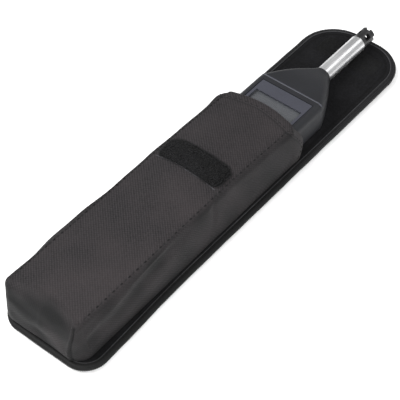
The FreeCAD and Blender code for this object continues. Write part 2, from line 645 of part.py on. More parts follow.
def sensor_guard():
    """Black cage that turns on the sleeve to open or close its windows."""
    guard = rod_y(GUARD_RADIUS, GUARD_Y[0], GUARD_Y[1])
    guard = guard.cut(rod_y(SLEEVE_RADIUS + GUARD_PLAY, GUARD_Y[0] - 1, WINDOW_SPAN[1] + 0.75))
    guard = guard.cut(rod_y(SLEEVE_RADIUS + 0.2 + GUARD_PLAY, GUARD_Y[0] + 0.9, GUARD_Y[0] + 1.8))
    guard = guard.cut(rod_y(SLEEVE_BORE, WINDOW_SPAN[1] + 1.8, GUARD_Y[1] + 1))
    guard = guard.cut(rod_y(1.1, WINDOW_SPAN[1], GUARD_Y[1]))
    for index in range(GUARD_WINDOWS):
        angle = 45.0 + 90.0 * index
        guard = guard.cut(sector(GUARD_RADIUS, WINDOW_SPAN[0], WINDOW_SPAN[1], angle, WINDOW_ANGLE))
        guard = guard.cut(sector(GUARD_RADIUS, GUARD_Y[1] - 1.6, GUARD_Y[1] + 1,
                                 angle - 45.0, WINDOW_ANGLE * 0.8))
    return guard


def sensor_board():
    """Narrow board down the tube that carries the sensors."""
    return block(-2.7, 2.7, TUBE_Y[0] + 14.0, TUBE_Y[1] + 5.2, PROBE_Z - 0.4, PROBE_Z + 0.4)


def humidity_sensor():
    """Humidity element on the end of the sensor board."""
    return block(-1.9, 0.6, TUBE_Y[1] + 1.2, TUBE_Y[1] + 4.8, PROBE_Z + 0.4, PROBE_Z + 1.5)


def temperature_bead():
    """Thermistor bead beside the humidity element."""
    centre = FreeCAD.Vector(1.7, TUBE_Y[1] + 3.2, PROBE_Z + 1.0)
    return Part.makeSphere(0.6, centre)


def sensor_leads():
    """Three leads from the sensor board, bent up to the main board's end."""
    radius, bend = 0.45, 4.0
    start_y, end_y = TUBE_Y[0] + 14.0, BOARD_Y[1] - 3.0
    low_z, high_z = PROBE_Z, BOARD_Z - radius
    rise = high_z - low_z
    run = start_y - 14.0 - (end_y + 4.0)
    slope = math.atan2(rise, run)
    trim = bend * math.tan(slope / 2)
    leads = []
    for x in (-2.0, 0.0, 2.0):
        low_turn = FreeCAD.Vector(x, start_y - 14.0, low_z)
        high_turn = FreeCAD.Vector(x, end_y + 4.0, high_z)
        along = (high_turn - low_turn).normalize()
        points = [FreeCAD.Vector(x, start_y, low_z), low_turn + FreeCAD.Vector(0, trim, 0),
                  low_turn + along * trim, high_turn - along * trim,
                  high_turn + FreeCAD.Vector(0, -trim, 0), FreeCAD.Vector(x, end_y, high_z)]
        lift = FreeCAD.Vector(0, bend * math.sin(slope / 2), bend * (1 - math.cos(slope / 2)))
        low_mid = points[1] + FreeCAD.Vector(0, -lift.y, lift.z)
        high_mid = points[4] + FreeCAD.Vector(0, lift.y, -lift.z)
        path = Part.Wire([Part.makeLine(points[0], points[1]),
                          Part.Arc(points[1], low_mid, points[2]).toShape(),
                          Part.makeLine(points[2], points[3]),
                          Part.Arc(points[3], high_mid, points[4]).toShape(),
                          Part.makeLine(points[4], points[5])])
        rim = Part.Wire(Part.makeCircle(radius, points[0], FreeCAD.Vector(0, 1, 0)))
        leads.append(path.makePipeShell([rim], True, False))
    return group(leads)


PARTS = {
    "back_panel_cloth": lambda: layer(root_slab, 0),
    "back_panel_stiffener": lambda: layer(root_slab, 1),
    "back_panel_lining": lambda: layer(root_slab, 2),
    "back_panel_binding": lambda: binding(root_slab),
    "flap_cloth": lambda: layer(flap_slab, 0),
    "flap_stiffener": lambda: layer(flap_slab, 1),
    "flap_lining": lambda: layer(flap_slab, 2),
    "flap_binding": lambda: binding(flap_slab),
    "hook_strip": hook_strip,
    "gusset_left": lambda: gusset(-1),
    "gusset_right": lambda: gusset(1),
    "pocket_end": pocket_end,
    "pocket_front": pocket_front,
    "mouth_binding": mouth_binding,
    "loop_patch": loop_patch,
    "belt_loop": belt_loop,
    "front_housing": front_housing,
    "rear_housing": rear_housing,
    "battery_cover": battery_cover,
    "battery_cover_screw": battery_cover_screw,
    "case_screws": case_screws,
    "display_bezel": display_bezel,
    "display_window": display_window,
    "display_glass": display_glass,
    "display_holder": display_holder,
    "key_mat": key_mat,
    "circuit_board": circuit_board,
    "microcontroller": microcontroller,
    "buzzer": buzzer,
    "board_parts": board_parts,
    "board_screws": board_screws,
    "battery_cells": battery_cells,
    "battery_contacts": battery_contacts,
    "probe_tube": probe_tube,
    "retaining_ring": retaining_ring,
    "sensor_sleeve": sensor_sleeve,
    "sensor_guard": sensor_guard,
    "sensor_board": sensor_board,
    "humidity_sensor": humidity_sensor,
    "temperature_bead": temperature_bead,
    "sensor_leads": sensor_leads,
}
POUCH_PARTS = tuple(PARTS)[:tuple(PARTS).index("front_housing")]
for key_name in KEYS:
    PARTS[key_name] = lambda name=key_name: key(name)


def main():
    """Build every sub-part and write it to its own file."""
    os.makedirs("parts", exist_ok=True)
    for name, build in PARTS.items():
        shape = build()
        if name not in POUCH_PARTS:
            shape.translate(FreeCAD.Vector(METER_X, 0, 0))
        box = shape.optimalBoundingBox(False)
        print(f"{name:22s} solids {len(shape.Solids)} valid {shape.isValid()} "
              f"volume {shape.Volume:9.1f}  x {box.XMin:7.2f} {box.XMax:7.2f}"
              f"  y {box.YMin:7.2f} {box.YMax:7.2f}  z {box.ZMin:6.2f} {box.ZMax:6.2f}")
        shape.exportStep(f"parts/{name}.step")


main()
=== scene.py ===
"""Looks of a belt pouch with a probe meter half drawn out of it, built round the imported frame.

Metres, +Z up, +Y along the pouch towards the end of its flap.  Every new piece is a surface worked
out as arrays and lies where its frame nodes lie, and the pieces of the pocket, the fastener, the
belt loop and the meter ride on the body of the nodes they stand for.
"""
from __future__ import annotations

import json
import logging
import math
from dataclasses import dataclass, field
from enum import Enum

import bmesh
import bpy
import numpy as np
from mathutils import Matrix, Vector

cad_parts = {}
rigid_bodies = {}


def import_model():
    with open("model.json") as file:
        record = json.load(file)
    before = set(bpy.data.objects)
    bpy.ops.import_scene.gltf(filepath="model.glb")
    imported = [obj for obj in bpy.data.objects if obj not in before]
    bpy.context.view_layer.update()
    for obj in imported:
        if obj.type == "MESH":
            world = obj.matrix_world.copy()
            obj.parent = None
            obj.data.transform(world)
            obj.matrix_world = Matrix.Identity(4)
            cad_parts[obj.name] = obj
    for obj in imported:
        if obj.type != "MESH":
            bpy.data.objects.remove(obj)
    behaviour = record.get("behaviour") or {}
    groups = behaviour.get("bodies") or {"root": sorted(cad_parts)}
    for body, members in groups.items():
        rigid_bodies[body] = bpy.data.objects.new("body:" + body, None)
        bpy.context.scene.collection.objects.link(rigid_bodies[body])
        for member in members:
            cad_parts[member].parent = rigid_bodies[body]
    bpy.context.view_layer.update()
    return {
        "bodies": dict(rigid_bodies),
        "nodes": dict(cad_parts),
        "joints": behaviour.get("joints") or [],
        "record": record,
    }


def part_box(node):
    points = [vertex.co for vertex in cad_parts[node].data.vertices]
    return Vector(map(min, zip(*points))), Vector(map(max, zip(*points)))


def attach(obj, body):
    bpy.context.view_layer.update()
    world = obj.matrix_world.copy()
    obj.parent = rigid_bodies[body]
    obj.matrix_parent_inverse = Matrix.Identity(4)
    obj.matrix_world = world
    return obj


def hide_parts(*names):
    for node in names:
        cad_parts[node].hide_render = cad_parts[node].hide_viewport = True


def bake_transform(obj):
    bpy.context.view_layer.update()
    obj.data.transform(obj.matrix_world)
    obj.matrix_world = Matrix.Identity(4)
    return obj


LOG = logging.getLogger("pouch")
MM = 0.001


class Body(Enum):
    """Frame bodies that the pieces ride on."""

    POUCH = "pouch"
    FLAP = "flap"
    METER = "meter"


class Side(Enum):
    """Left or right, as the sign of X."""

    LEFT = -1
    RIGHT = 1


# Meshes ---------------------------------------------------------------------------------------
def put_mesh(name: str, points: np.ndarray, uv: np.ndarray | None = None,
             shade: np.ndarray | None = None, wrap: tuple[bool, bool] = (False, False),
             weld: bool = False, turned: np.ndarray | None = None) -> bpy.types.Object:
    """Makes an object from a grid of points.

    Vertex (i, j) of the grid is joined to (i+1, j), (i+1, j+1) and (i, j+1) as one four-sided face.

    Args:
        name: the object's name.
        points: places in metres, shaped (rows, columns, 3).
        uv: pattern coordinates in metres, one more row or column than points where it wraps.
        shade: a value for each point, from 0 to 1, kept as the attribute "shade".
        wrap: whether the rows and the columns close on themselves.
        weld: whether points that lie together are merged.
        turned: a value for each point, from 0 to 1, kept as the attribute "turned".

    Returns:
        The new object, linked into the scene.
    """
    rows, columns = points.shape[:2]
    i, j = np.meshgrid(np.arange(rows - (not wrap[0])), np.arange(columns - (not wrap[1])),
                       indexing="ij")
    corner_i = np.stack([i, i + 1, i + 1, i], axis=-1).reshape(-1)
    corner_j = np.stack([j, j, j + 1, j + 1], axis=-1).reshape(-1)
    index = (corner_i % rows) * columns + corner_j % columns
    mesh = bpy.data.meshes.new(name)
    mesh.vertices.add(rows * columns)
    mesh.vertices.foreach_set("co", points.astype(np.float32).reshape(-1))
    mesh.loops.add(index.size)
    mesh.loops.foreach_set("vertex_index", index.astype(np.int32))
    mesh.polygons.add(index.size // 4)
    mesh.polygons.foreach_set("loop_start", np.arange(0, index.size, 4, dtype=np.int32))
    mesh.polygons.foreach_set("loop_total", np.full(index.size // 4, 4, dtype=np.int32))
    if uv is not None:
        layer = mesh.uv_layers.new(name="weave")
        layer.uv.foreach_set("vector", uv[corner_i, corner_j].astype(np.float32).reshape(-1))
    for title, values in (("shade", shade), ("turned", turned)):
        if values is not None:
            value = mesh.attributes.new(title, "FLOAT", "POINT")
            value.data.foreach_set("value", values.astype(np.float32).reshape(-1))
    mesh.update(calc_edges=True)
    mesh.validate()
    return put_object(name, mesh, weld)


def put_object(name: str, mesh: bpy.types.Mesh, weld: bool = False,
               outward: bool = False) -> bpy.types.Object:
    """Links a mesh as an object with smooth faces.

    Args:
        name: the object's name.
        mesh: its mesh.
        weld: merge points that lie together, and drop faces left without area.
        outward: turn the faces of closed shells outwards.

    Returns:
        The new object.
    """
    if weld or outward:
        work = bmesh.new()
        work.from_mesh(mesh)
        if weld:
            bmesh.ops.remove_doubles(work, verts=work.verts, dist=0.004 * MM)
            bmesh.ops.dissolve_degenerate(work, edges=work.edges, dist=0.002 * MM)
        if outward:
            bmesh.ops.recalc_face_normals(work, faces=work.faces)
        work.to_mesh(mesh)
        work.free()
    mesh.polygons.foreach_set("use_smooth", np.ones(len(mesh.polygons), dtype=bool))
    piece = bpy.data.objects.new(name, mesh)
    bpy.context.scene.collection.objects.link(piece)
    return piece


def grid_normals(points: np.ndarray, wrap: tuple[bool, bool] = (False, False)) -> np.ndarray:
    """Unit normals of a grid of points: the cross product of its two directions.

    Args:
        points: places, shaped (rows, columns, 3).
        wrap: whether the rows and the columns close on themselves.

    Returns:
        Normals of the same shape, along rows cross columns.
    """
    steps = []
    for axis in (0, 1):
        if wrap[axis]:
            steps.append(np.roll(points, -1, axis) - np.roll(points, 1, axis))
        else:
            steps.append(np.gradient(points, axis=axis))
    normal = np.cross(steps[0], steps[1])
    return normal / np.maximum(np.linalg.norm(normal, axis=-1, keepdims=True), 1e-12)


def rounded_inset(x: np.ndarray, y: np.ndarray, half: float, ends: tuple[float, float],
                  corners: tuple[float, float]) -> np.ndarray:
    """Distance inside a rectangle with a corner radius of its own at each end.

    The distance to a rounded corner is its radius less the distance to the corner's centre, and
    elsewhere it is the distance to the nearer straight side.

    Args:
        x: places across.
        y: places along.
        half: half the width.
        ends: lowest and highest y.
        corners: radius at the low end and at the high end.

    Returns:
        The distance inwards from the outline.
    """
    middle = (ends[0] + ends[1]) / 2
    radius = np.where(y < middle, corners[0], corners[1])
    over_x = np.abs(x) - (half - radius)
    over_y = np.abs(y - middle) - ((ends[1] - ends[0]) / 2 - radius)
    outside = np.hypot(np.maximum(over_x, 0), np.maximum(over_y, 0))
    return radius - outside - np.minimum(np.maximum(over_x, over_y), 0)


def outline_path(half: float, ends: tuple[float, float], corners: tuple[float, float],
                 inset: float, step: float) -> tuple[np.ndarray, np.ndarray, np.ndarray]:
    """Closed path round a rectangle with rounded corners, evenly stepped.

    Straight runs joined by quarter circles, resampled at equal lengths along the whole path.

    Args:
        half: half the width.
        ends: lowest and highest y.
        corners: radius at the low and at the high end.
        inset: distance inside the outline.
        step: wanted distance between points.

    Returns:
        Points (n, 2), unit outward normals (n, 2) and the length along the path (n + 1,).
    """
    parts = []
    for quarter, (sign_x, end) in enumerate(((1, 1), (-1, 1), (-1, 0), (1, 0))):
        radius = corners[end]
        centre = np.array([sign_x * (half - radius), ends[end] + (radius if end == 0 else -radius)])
        angle = math.pi / 2 * quarter + np.linspace(0, math.pi / 2, 60)
        ring = np.stack([np.cos(angle), np.sin(angle)], axis=-1)
        parts.append(np.concatenate([centre + ring * (radius - inset), ring], axis=1))
    joint = np.concatenate(parts + [parts[0][:1]])
    length = np.concatenate([[0], np.cumsum(np.linalg.norm(np.diff(joint[:, :2], axis=0), axis=1))])
    count = int(round(length[-1] / step))
    along = np.linspace(0, length[-1], count + 1)
    path = np.stack([np.interp(along, length, joint[:, k]) for k in range(4)], axis=-1)
    normals = path[:-1, 2:] / np.linalg.norm(path[:-1, 2:], axis=1, keepdims=True)
    return path[:-1, :2], normals, along


def tube_round(name: str, centres: np.ndarray, radius: float, sides: int = 8,
               closed: bool = False) -> bpy.types.Object:
    """A round cord along a path: a circle carried square to the path's direction.

    Args:
        name: the object's name.
        centres: the path, shaped (n, 3).
        radius: the cord's radius.
        sides: points round the circle.
        closed: whether the path closes on itself.

    Returns:
        The new object.
    """
    if closed:
        along = np.roll(centres, -1, 0) - np.roll(centres, 1, 0)
    else:
        along = np.gradient(centres, axis=0)
    along /= np.linalg.norm(along, axis=1, keepdims=True)
    up = np.array([0.0, 0.0, 1.0]) + 0 * along
    across = np.cross(along, up)
    across /= np.linalg.norm(across, axis=1, keepdims=True)
    up = np.cross(across, along)
    turn = np.linspace(0, 2 * math.pi, sides, endpoint=False)
    size = np.full(len(centres), radius)
    if not closed:
        size[[0, -1]] = 0.02 * radius
    ring = across[:, None] * np.cos(turn)[None, :, None] + up[:, None] * np.sin(turn)[None, :, None]
    points = centres[:, None] + ring * size[:, None, None]
    piece = put_mesh(name, points, wrap=(closed, True))
    finish_shell(piece)
    return piece


def finish_shell(piece: bpy.types.Object) -> None:
    """Closes any open hole of a shell and turns its faces outwards."""
    work = bmesh.new()
    work.from_mesh(piece.data)
    edges = [edge for edge in work.edges if edge.is_boundary]
    if edges:
        bmesh.ops.holes_fill(work, edges=edges, sides=0)
    bmesh.ops.recalc_face_normals(work, faces=work.faces)
    work.to_mesh(piece.data)
    work.free()
    piece.data.polygons.foreach_set("use_smooth", np.ones(len(piece.data.polygons), dtype=bool))


def stitches(name: str, places: np.ndarray, along: np.ndarray, up: np.ndarray, length: float,
             radius: float) -> bpy.types.Object:
    """A row of thread stitches in one mesh.

    One stitch is a bead of five rings: its radius is the square root of one minus the square of
    the place along it, and it arches up by the same measure.  All stitches are copies of it, turned
    to their own directions by one array product.

    Args:
        name: the object's name.
        places: middle of each stitch, shaped (n, 3).
        along: unit direction of each stitch.
        up: unit direction out of the cloth at each stitch.
        length: of one stitch.
        radius: of the thread.

    Returns:
        The new object.
    """
    rings, sides = np.linspace(-1, 1, 7), 6
    turn = np.linspace(0, 2 * math.pi, sides, endpoint=False)
    size = np.sqrt(np.clip(1 - rings ** 4, 0.03, 1)) * radius
    bead = np.stack([
        np.repeat(rings * length / 2, sides),
        (size[:, None] * np.cos(turn)).reshape(-1),
        (size[:, None] * np.sin(turn)).reshape(-1) - np.repeat(rings ** 2 * radius * 1.2, sides)],
        axis=-1)
    across = np.cross(up, along)
    frames = np.stack([along, across, up], axis=1)
    points = places[:, None] + np.einsum("pk,nkc->npc", bead, frames)
    count, size_one = len(places), len(bead)
    ring, side = np.meshgrid(np.arange(len(rings) - 1), np.arange(sides), indexing="ij")
    after = (side + 1) % sides
    quads = np.stack([ring * sides + side, ring * sides + after, (ring + 1) * sides + after,
                      (ring + 1) * sides + side], axis=-1).reshape(-1, 4)
    offsets = (np.arange(count) * size_one)[:, None, None]
    faces = (quads[None] + offsets).reshape(-1, 4).tolist()
    last = (len(rings) - 1) * sides
    caps = np.array([list(range(sides))[::-1], [last + k for k in range(sides)]])
    faces += (caps[None] + offsets).reshape(-1, sides).tolist()
    mesh = bpy.data.meshes.new(name)
    mesh.from_pydata(points.reshape(-1, 3), [], faces)
    return put_object(name, mesh, outward=True)


def ripple(x: np.ndarray, y: np.ndarray, size: float, seed: int, waves: int = 7) -> np.ndarray:
    """A soft random relief: the mean of a few sine waves in random directions.

    Args:
        x: first coordinate.
        y: second coordinate.
        size: usual length of one wave, in the same unit.
        seed: starts the random draw.
        waves: how many are added.

    Returns:
        Values mostly between -1 and 1.
    """
    draw = np.random.default_rng(seed)
    total = np.zeros(np.broadcast(x, y).shape)
    for _ in range(waves):
        heading, phase = draw.uniform(0, 2 * math.pi, 2)
        scale = 2 * math.pi / (size * draw.uniform(0.7, 1.6))
        total = total + np.sin((x * math.cos(heading) + y * math.sin(heading)) * scale + phase)
    return total / math.sqrt(waves)


def settle(points: np.ndarray, pinned: np.ndarray, pressure: float, cap: float,
           frames: int = 18) -> np.ndarray:
    """Lets a coarse grid of cloth fill out and settle, with some of its points held.

    A cloth simulation runs for a few frames with pressure from inside and no gravity, since
    padding bears the weight, and the movement of each point is kept up to a longest length.
    Points that lie together are one point of the cloth, since a thread of no length stops the
    solver.

    Args:
        points: the grid, with its faces outwards along rows cross columns.
        pinned: which points are held, shaped (rows, columns).
        pressure: how hard it is filled.
        cap: longest movement kept.
        frames: length of the simulation.

    Returns:
        Movement of each point, of the same shape as points.
    """
    cloth = put_mesh("settling_cloth", points, weld=True)
    rest = np.empty(3 * len(cloth.data.vertices), dtype=np.float32)
    cloth.data.vertices.foreach_get("co", rest)
    rest = rest.reshape(-1, 3)
    apart = np.linalg.norm(points.reshape(-1, 1, 3).astype(np.float32) - rest, axis=-1)
    nearest = apart.argmin(axis=1)
    held = cloth.vertex_groups.new(name="held")
    held.add(np.unique(nearest[pinned.reshape(-1)]).tolist(), 1.0, "REPLACE")
    loose = cloth.modifiers.new("cloth", "CLOTH")
    loose.settings.vertex_group_mass = "held"
    loose.settings.quality = 6
    loose.settings.mass = 0.15
    loose.settings.tension_stiffness = loose.settings.compression_stiffness = 12.0
    loose.settings.bending_stiffness = 0.4
    loose.settings.use_pressure = True
    loose.settings.uniform_pressure_force = pressure
    loose.settings.effector_weights.gravity = 0.0
    loose.collision_settings.use_collision = False
    scene = bpy.context.scene
    for frame in range(1, frames + 1):
        scene.frame_set(frame)
    solved = cloth.evaluated_get(bpy.context.evaluated_depsgraph_get())
    final = np.empty(rest.size, dtype=np.float32)
    solved.data.vertices.foreach_get("co", final)
    scene.frame_set(1)
    bpy.data.objects.remove(cloth, do_unlink=True)
    move = (final.reshape(-1, 3) - rest)[nearest].reshape(points.shape)
    length = np.linalg.norm(move, axis=-1, keepdims=True)
    return move * np.minimum(1, cap / np.maximum(length, 1e-9)) * ~pinned[..., None]


def refine(values: np.ndarray, rows: np.ndarray, columns: np.ndarray) -> np.ndarray:
    """Reads a coarse grid at finer places by straight lines both ways.

    Args:
        values: coarse grid (r, c, 3).
        rows: fractional row for each fine row.
        columns: fractional column for each fine column.

    Returns:
        Values (len(rows), len(columns), 3).
    """
    low_r = np.clip(np.floor(rows).astype(int), 0, values.shape[0] - 2)
    low_c = np.clip(np.floor(columns).astype(int), 0, values.shape[1] - 2)
    part_r = (rows - low_r)[:, None, None]
    part_c = (columns - low_c)[None, :, None]
    part_r, part_c = (part * part * (3 - 2 * part) for part in (part_r, part_c))
    near = values[low_r][:, low_c] * (1 - part_c) + values[low_r][:, low_c + 1] * part_c
    far = values[low_r + 1][:, low_c] * (1 - part_c) + values[low_r + 1][:, low_c + 1] * part_c
    return near * (1 - part_r) + far * part_r


# Finishes -------------------------------------------------------------------------------------
def linear(code: str) -> tuple[float, float, float, float]:
    """Turns an sRGB hex colour into linear values.

    Args:
        code: such as "#3a3a3a".

    Returns:
        Red, green, blue and an alpha of one.
    """
    parts = [int(code[k:k + 2], 16) / 255 for k in (1, 3, 5)]
    values = [p / 12.92 if p <= 0.04045 else ((p + 0.055) / 1.055) ** 2.4 for p in parts]
    return values[0], values[1], values[2], 1.0


def add_node(tree: bpy.types.NodeTree, kind: str, inputs: dict | None = None,
             **settings) -> bpy.types.Node:
    """Adds one node.

    Args:
        tree: the node tree.
        kind: the node's type.
        inputs: a socket to link from, or a value, for each named or numbered input.
        **settings: the node's own properties.

    Returns:
        The new node.
    """
    node = tree.nodes.new(kind)
    for key, value in settings.items():
        setattr(node, key, value)
    for key, value in (inputs or {}).items():
        if isinstance(value, bpy.types.NodeSocket):
            tree.links.new(value, node.inputs[key])
        else:
            node.inputs[key].default_value = value
    return node


def new_material(name: str, **shader: float | tuple) -> tuple[bpy.types.Material,
                                                              bpy.types.NodeTree, bpy.types.Node]:
    """Starts a material with one Principled shader.

    Args:
        name: the material's name.
        **shader: values of the shader's own sockets, with _ for a space.

    Returns:
        The material, its tree and its shader.
    """
    material = bpy.data.materials.new(name)
    material.use_nodes = True
    tree = material.node_tree
    bsdf = tree.nodes["Principled BSDF"]
    for key, value in shader.items():
        bsdf.inputs[key.replace("_", " ")].default_value = value
    return material, tree, bsdf


def ramp_between(node: bpy.types.Node, stops: list[tuple[float, str]]) -> bpy.types.NodeSocket:
    """Sets a colour ramp's stops and returns its colour socket."""
    elements = node.color_ramp.elements
    while len(elements) > 1:
        elements.remove(elements[-1])
    elements[0].position, elements[0].color = stops[0][0], linear(stops[0][1])
    for place, code in stops[1:]:
        elements.new(place).color = linear(code)
    return node.outputs["Color"]


def wave_scale(pitch: float) -> float:
    """Scale of a Wave texture whose bands repeat every pitch: it has 20 radians per unit."""
    return 2 * math.pi / (20 * pitch)


@dataclass(frozen=True)
class WovenNylon:
    """Plain-woven nylon pack cloth: matt charcoal yarns that cross over and under.

    The yarns stand about 0.45 mm apart on the real cloth.  They are drawn at twice that, because
    finer ones would not show.
    """

    name: str = "woven_nylon_charcoal"
    valley: str = "#010101"
    crest: str = "#2b282a"
    worn: str = "#302b2c"
    pitch: float = 0.9 * MM
    relief: float = 0.16 * MM

    def build(self) -> bpy.types.Material:
        """Makes the material.  Its height is high where a warp and a weft band agree."""
        material, tree, bsdf = new_material(self.name, Roughness=0.75, IOR=1.53,
                                            Specular_IOR_Level=0.2, Sheen_Weight=0.02,
                                            Sheen_Roughness=0.45)
        uv = add_node(tree, "ShaderNodeUVMap", uv_map="weave").outputs["UV"]
        place = add_node(tree, "ShaderNodeTexCoord").outputs["Object"]
        bands = [add_node(tree, "ShaderNodeTexWave",
                          {"Vector": uv, "Scale": wave_scale(2 * self.pitch), "Distortion": 0.5,
                           "Detail": 2.0, "Detail Scale": 1.5},
                          bands_direction=axis).outputs["Fac"] for axis in ("X", "Y")]
        both = add_node(tree, "ShaderNodeMath", {0: bands[0], 1: bands[1]}, operation="SUBTRACT")
        over = add_node(tree, "ShaderNodeMath", {0: both.outputs[0]}, operation="ABSOLUTE")
        checks = add_node(tree, "ShaderNodeMath", {0: 1.0, 1: over.outputs[0]},
                          operation="SUBTRACT")
        # One diagonal of the crossings stands out: another one on the end wall than elsewhere
        mirrored = add_node(tree, "ShaderNodeMapping", {"Vector": uv, "Scale": (-1.0, 1.0, 1.0)})
        turned = add_node(tree, "ShaderNodeAttribute", attribute_name="turned",
                          attribute_type="GEOMETRY").outputs["Fac"]
        lines = [add_node(tree, "ShaderNodeTexWave",
                          {"Vector": way, "Scale": wave_scale(self.pitch), "Distortion": 0.7,
                           "Detail": 2.0, "Detail Scale": 1.2},
                          bands_direction="DIAGONAL").outputs["Fac"]
                 for way in (uv, mirrored.outputs["Vector"])]
        chosen = add_node(tree, "ShaderNodeMix", {"Factor": turned, "A": lines[0], "B": lines[1]})
        height = add_node(tree, "ShaderNodeMath", {0: chosen.outputs["Result"], 1: 0.62, 2: 0.0},
                          operation="MULTIPLY_ADD")
        height = add_node(tree, "ShaderNodeMath", {0: checks.outputs[0], 1: 0.38,
                                                   2: height.outputs[0]},
                          operation="MULTIPLY_ADD")
        slub = add_node(tree, "ShaderNodeTexNoise",
                        {"Vector": place, "Scale": 900.0, "Detail": 3.0, "Roughness": 0.6})
        tone = add_node(tree, "ShaderNodeMath", {0: height.outputs[0], 1: 0.85, 2: -0.24},
                        operation="MULTIPLY_ADD")
        tone = add_node(tree, "ShaderNodeMath", {0: slub.outputs["Fac"], 1: 0.75,
                                                 2: tone.outputs[0]}, operation="MULTIPLY_ADD")
        ramp = add_node(tree, "ShaderNodeValToRGB", {"Fac": tone.outputs[0]})
        colour = ramp_between(ramp, [(0.22, self.valley), (0.92, self.crest)])
        # Handling leaves broad paler and slightly brown areas
        patches = add_node(tree, "ShaderNodeTexNoise",
                           {"Vector": place, "Scale": 26.0, "Detail": 3.0, "Roughness": 0.55})
        share = add_node(tree, "ShaderNodeMapRange",
                         {"Value": patches.outputs["Fac"], "From Min": 0.4, "From Max": 0.7,
                          "To Min": 0.0, "To Max": 0.45})
        mixed = add_node(tree, "ShaderNodeMix", {"Factor": share.outputs["Result"], "A": colour,
                                                 "B": linear(self.worn)}, data_type="RGBA")
        # The shade attribute darkens needle holes and seams, and carries painted shade
        dark = add_node(tree, "ShaderNodeAttribute", attribute_name="shade",
                        attribute_type="GEOMETRY").outputs["Fac"]
        sunk = add_node(tree, "ShaderNodeMix", {"Factor": dark, "A": mixed.outputs["Result"],
                                                "B": linear("#0b0b0c")}, data_type="RGBA")
        tree.links.new(sunk.outputs["Result"], bsdf.inputs["Base Color"])
        bump = add_node(tree, "ShaderNodeBump", {"Height": height.outputs[0], "Strength": 0.8,
                                                 "Distance": self.relief})
        fuzz = add_node(tree, "ShaderNodeBump", {"Height": slub.outputs["Fac"], "Strength": 0.4,
                                                 "Distance": 0.15 * MM,
                                                 "Normal": bump.outputs["Normal"]})
        tree.links.new(fuzz.outputs["Normal"], bsdf.inputs["Normal"])
        return material


@dataclass(frozen=True)
class BrushedTricot:
    """Brushed tricot lining: near-black knitted face raised to a short soft nap."""

    name: str = "brushed_tricot_black"
    valley: str = "#080809"
    crest: str = "#18181a"
    nap: float = 0.6 * MM

    def build(self) -> bpy.types.Material:
        """Makes the material: two scales of nap, in colour and in relief."""
        material, tree, bsdf = new_material(self.name, Roughness=0.95, IOR=1.5,
                                            Specular_IOR_Level=0.1, Sheen_Weight=0.01,
                                            Sheen_Roughness=0.6)
        place = add_node(tree, "ShaderNodeTexCoord").outputs["Object"]
        nap = add_node(tree, "ShaderNodeTexNoise", {"Vector": place, "Scale": 0.55 / self.nap,
                                                    "Detail": 5.0, "Roughness": 0.65})
        clumps = add_node(tree, "ShaderNodeTexNoise", {"Vector": place, "Scale": 90.0,
                                                       "Detail": 3.0})
        tone = add_node(tree, "ShaderNodeMath", {0: nap.outputs["Fac"], 1: 0.7, 2: 0.0},
                        operation="MULTIPLY_ADD")
        tone = add_node(tree, "ShaderNodeMath", {0: clumps.outputs["Fac"], 1: 0.4,
                                                 2: tone.outputs[0]}, operation="MULTIPLY_ADD")
        ramp = add_node(tree, "ShaderNodeValToRGB", {"Fac": tone.outputs[0]})
        colour = ramp_between(ramp, [(0.4, self.valley), (0.78, self.crest)])
        # The shade attribute darkens the border groove, and carries painted shade of creases and
        # walls
        dark = add_node(tree, "ShaderNodeAttribute", attribute_name="shade",
                        attribute_type="GEOMETRY").outputs["Fac"]
        sunk = add_node(tree, "ShaderNodeMix", {"Factor": dark, "A": colour,
                                                "B": linear("#050505")}, data_type="RGBA")
        tree.links.new(sunk.outputs["Result"], bsdf.inputs["Base Color"])
        bump = add_node(tree, "ShaderNodeBump", {"Height": tone.outputs[0], "Strength": 0.8,
                                                 "Distance": 0.5 * MM})
        tree.links.new(bump.outputs["Normal"], bsdf.inputs["Normal"])
        return material


@dataclass(frozen=True)
class RibbedTape:
    """Ribbed binding tape or webbing: ribs across its length, slightly shiny filament yarns."""

    name: str = "ribbed_polyester_tape"
    valley: str = "#060607"
    crest: str = "#202022"
    pitch: float = 1.1 * MM
    roughness: float = 0.62

    def build(self) -> bpy.types.Material:
        """Makes the material: bands across the tape's length, broken by fine noise."""
        material, tree, bsdf = new_material(self.name, Roughness=self.roughness, IOR=1.53,
                                            Specular_IOR_Level=0.2, Sheen_Weight=0.01,
                                            Sheen_Roughness=0.4)
        uv = add_node(tree, "ShaderNodeUVMap", uv_map="weave").outputs["UV"]
        place = add_node(tree, "ShaderNodeTexCoord").outputs["Object"]
        ribs = add_node(tree, "ShaderNodeTexWave", {"Vector": uv, "Scale": wave_scale(self.pitch),
                                                    "Distortion": 0.6, "Detail": 1.0},
                        bands_direction="X")
        fine = add_node(tree, "ShaderNodeTexNoise", {"Vector": place, "Scale": 1100.0,
                                                     "Detail": 2.0})
        tone = add_node(tree, "ShaderNodeMath", {0: ribs.outputs["Fac"], 1: 0.55, 2: 0.0},
                        operation="MULTIPLY_ADD")
        tone = add_node(tree, "ShaderNodeMath", {0: fine.outputs["Fac"], 1: 0.45,
                                                 2: tone.outputs[0]}, operation="MULTIPLY_ADD")
        ramp = add_node(tree, "ShaderNodeValToRGB", {"Fac": tone.outputs[0]})
        colour = ramp_between(ramp, [(0.15, self.valley), (0.9, self.crest)])
        # The shade attribute carries painted shade beside the pocket
        dark = add_node(tree, "ShaderNodeAttribute", attribute_name="shade",
                        attribute_type="GEOMETRY").outputs["Fac"]
        sunk = add_node(tree, "ShaderNodeMix", {"Factor": dark, "A": colour,
                                                "B": linear("#030303")}, data_type="RGBA")
        tree.links.new(sunk.outputs["Result"], bsdf.inputs["Base Color"])
        bump = add_node(tree, "ShaderNodeBump", {"Height": tone.outputs[0], "Strength": 0.6,
                                                 "Distance": 0.2 * MM})
        tree.links.new(bump.outputs["Normal"], bsdf.inputs["Normal"])
        return material


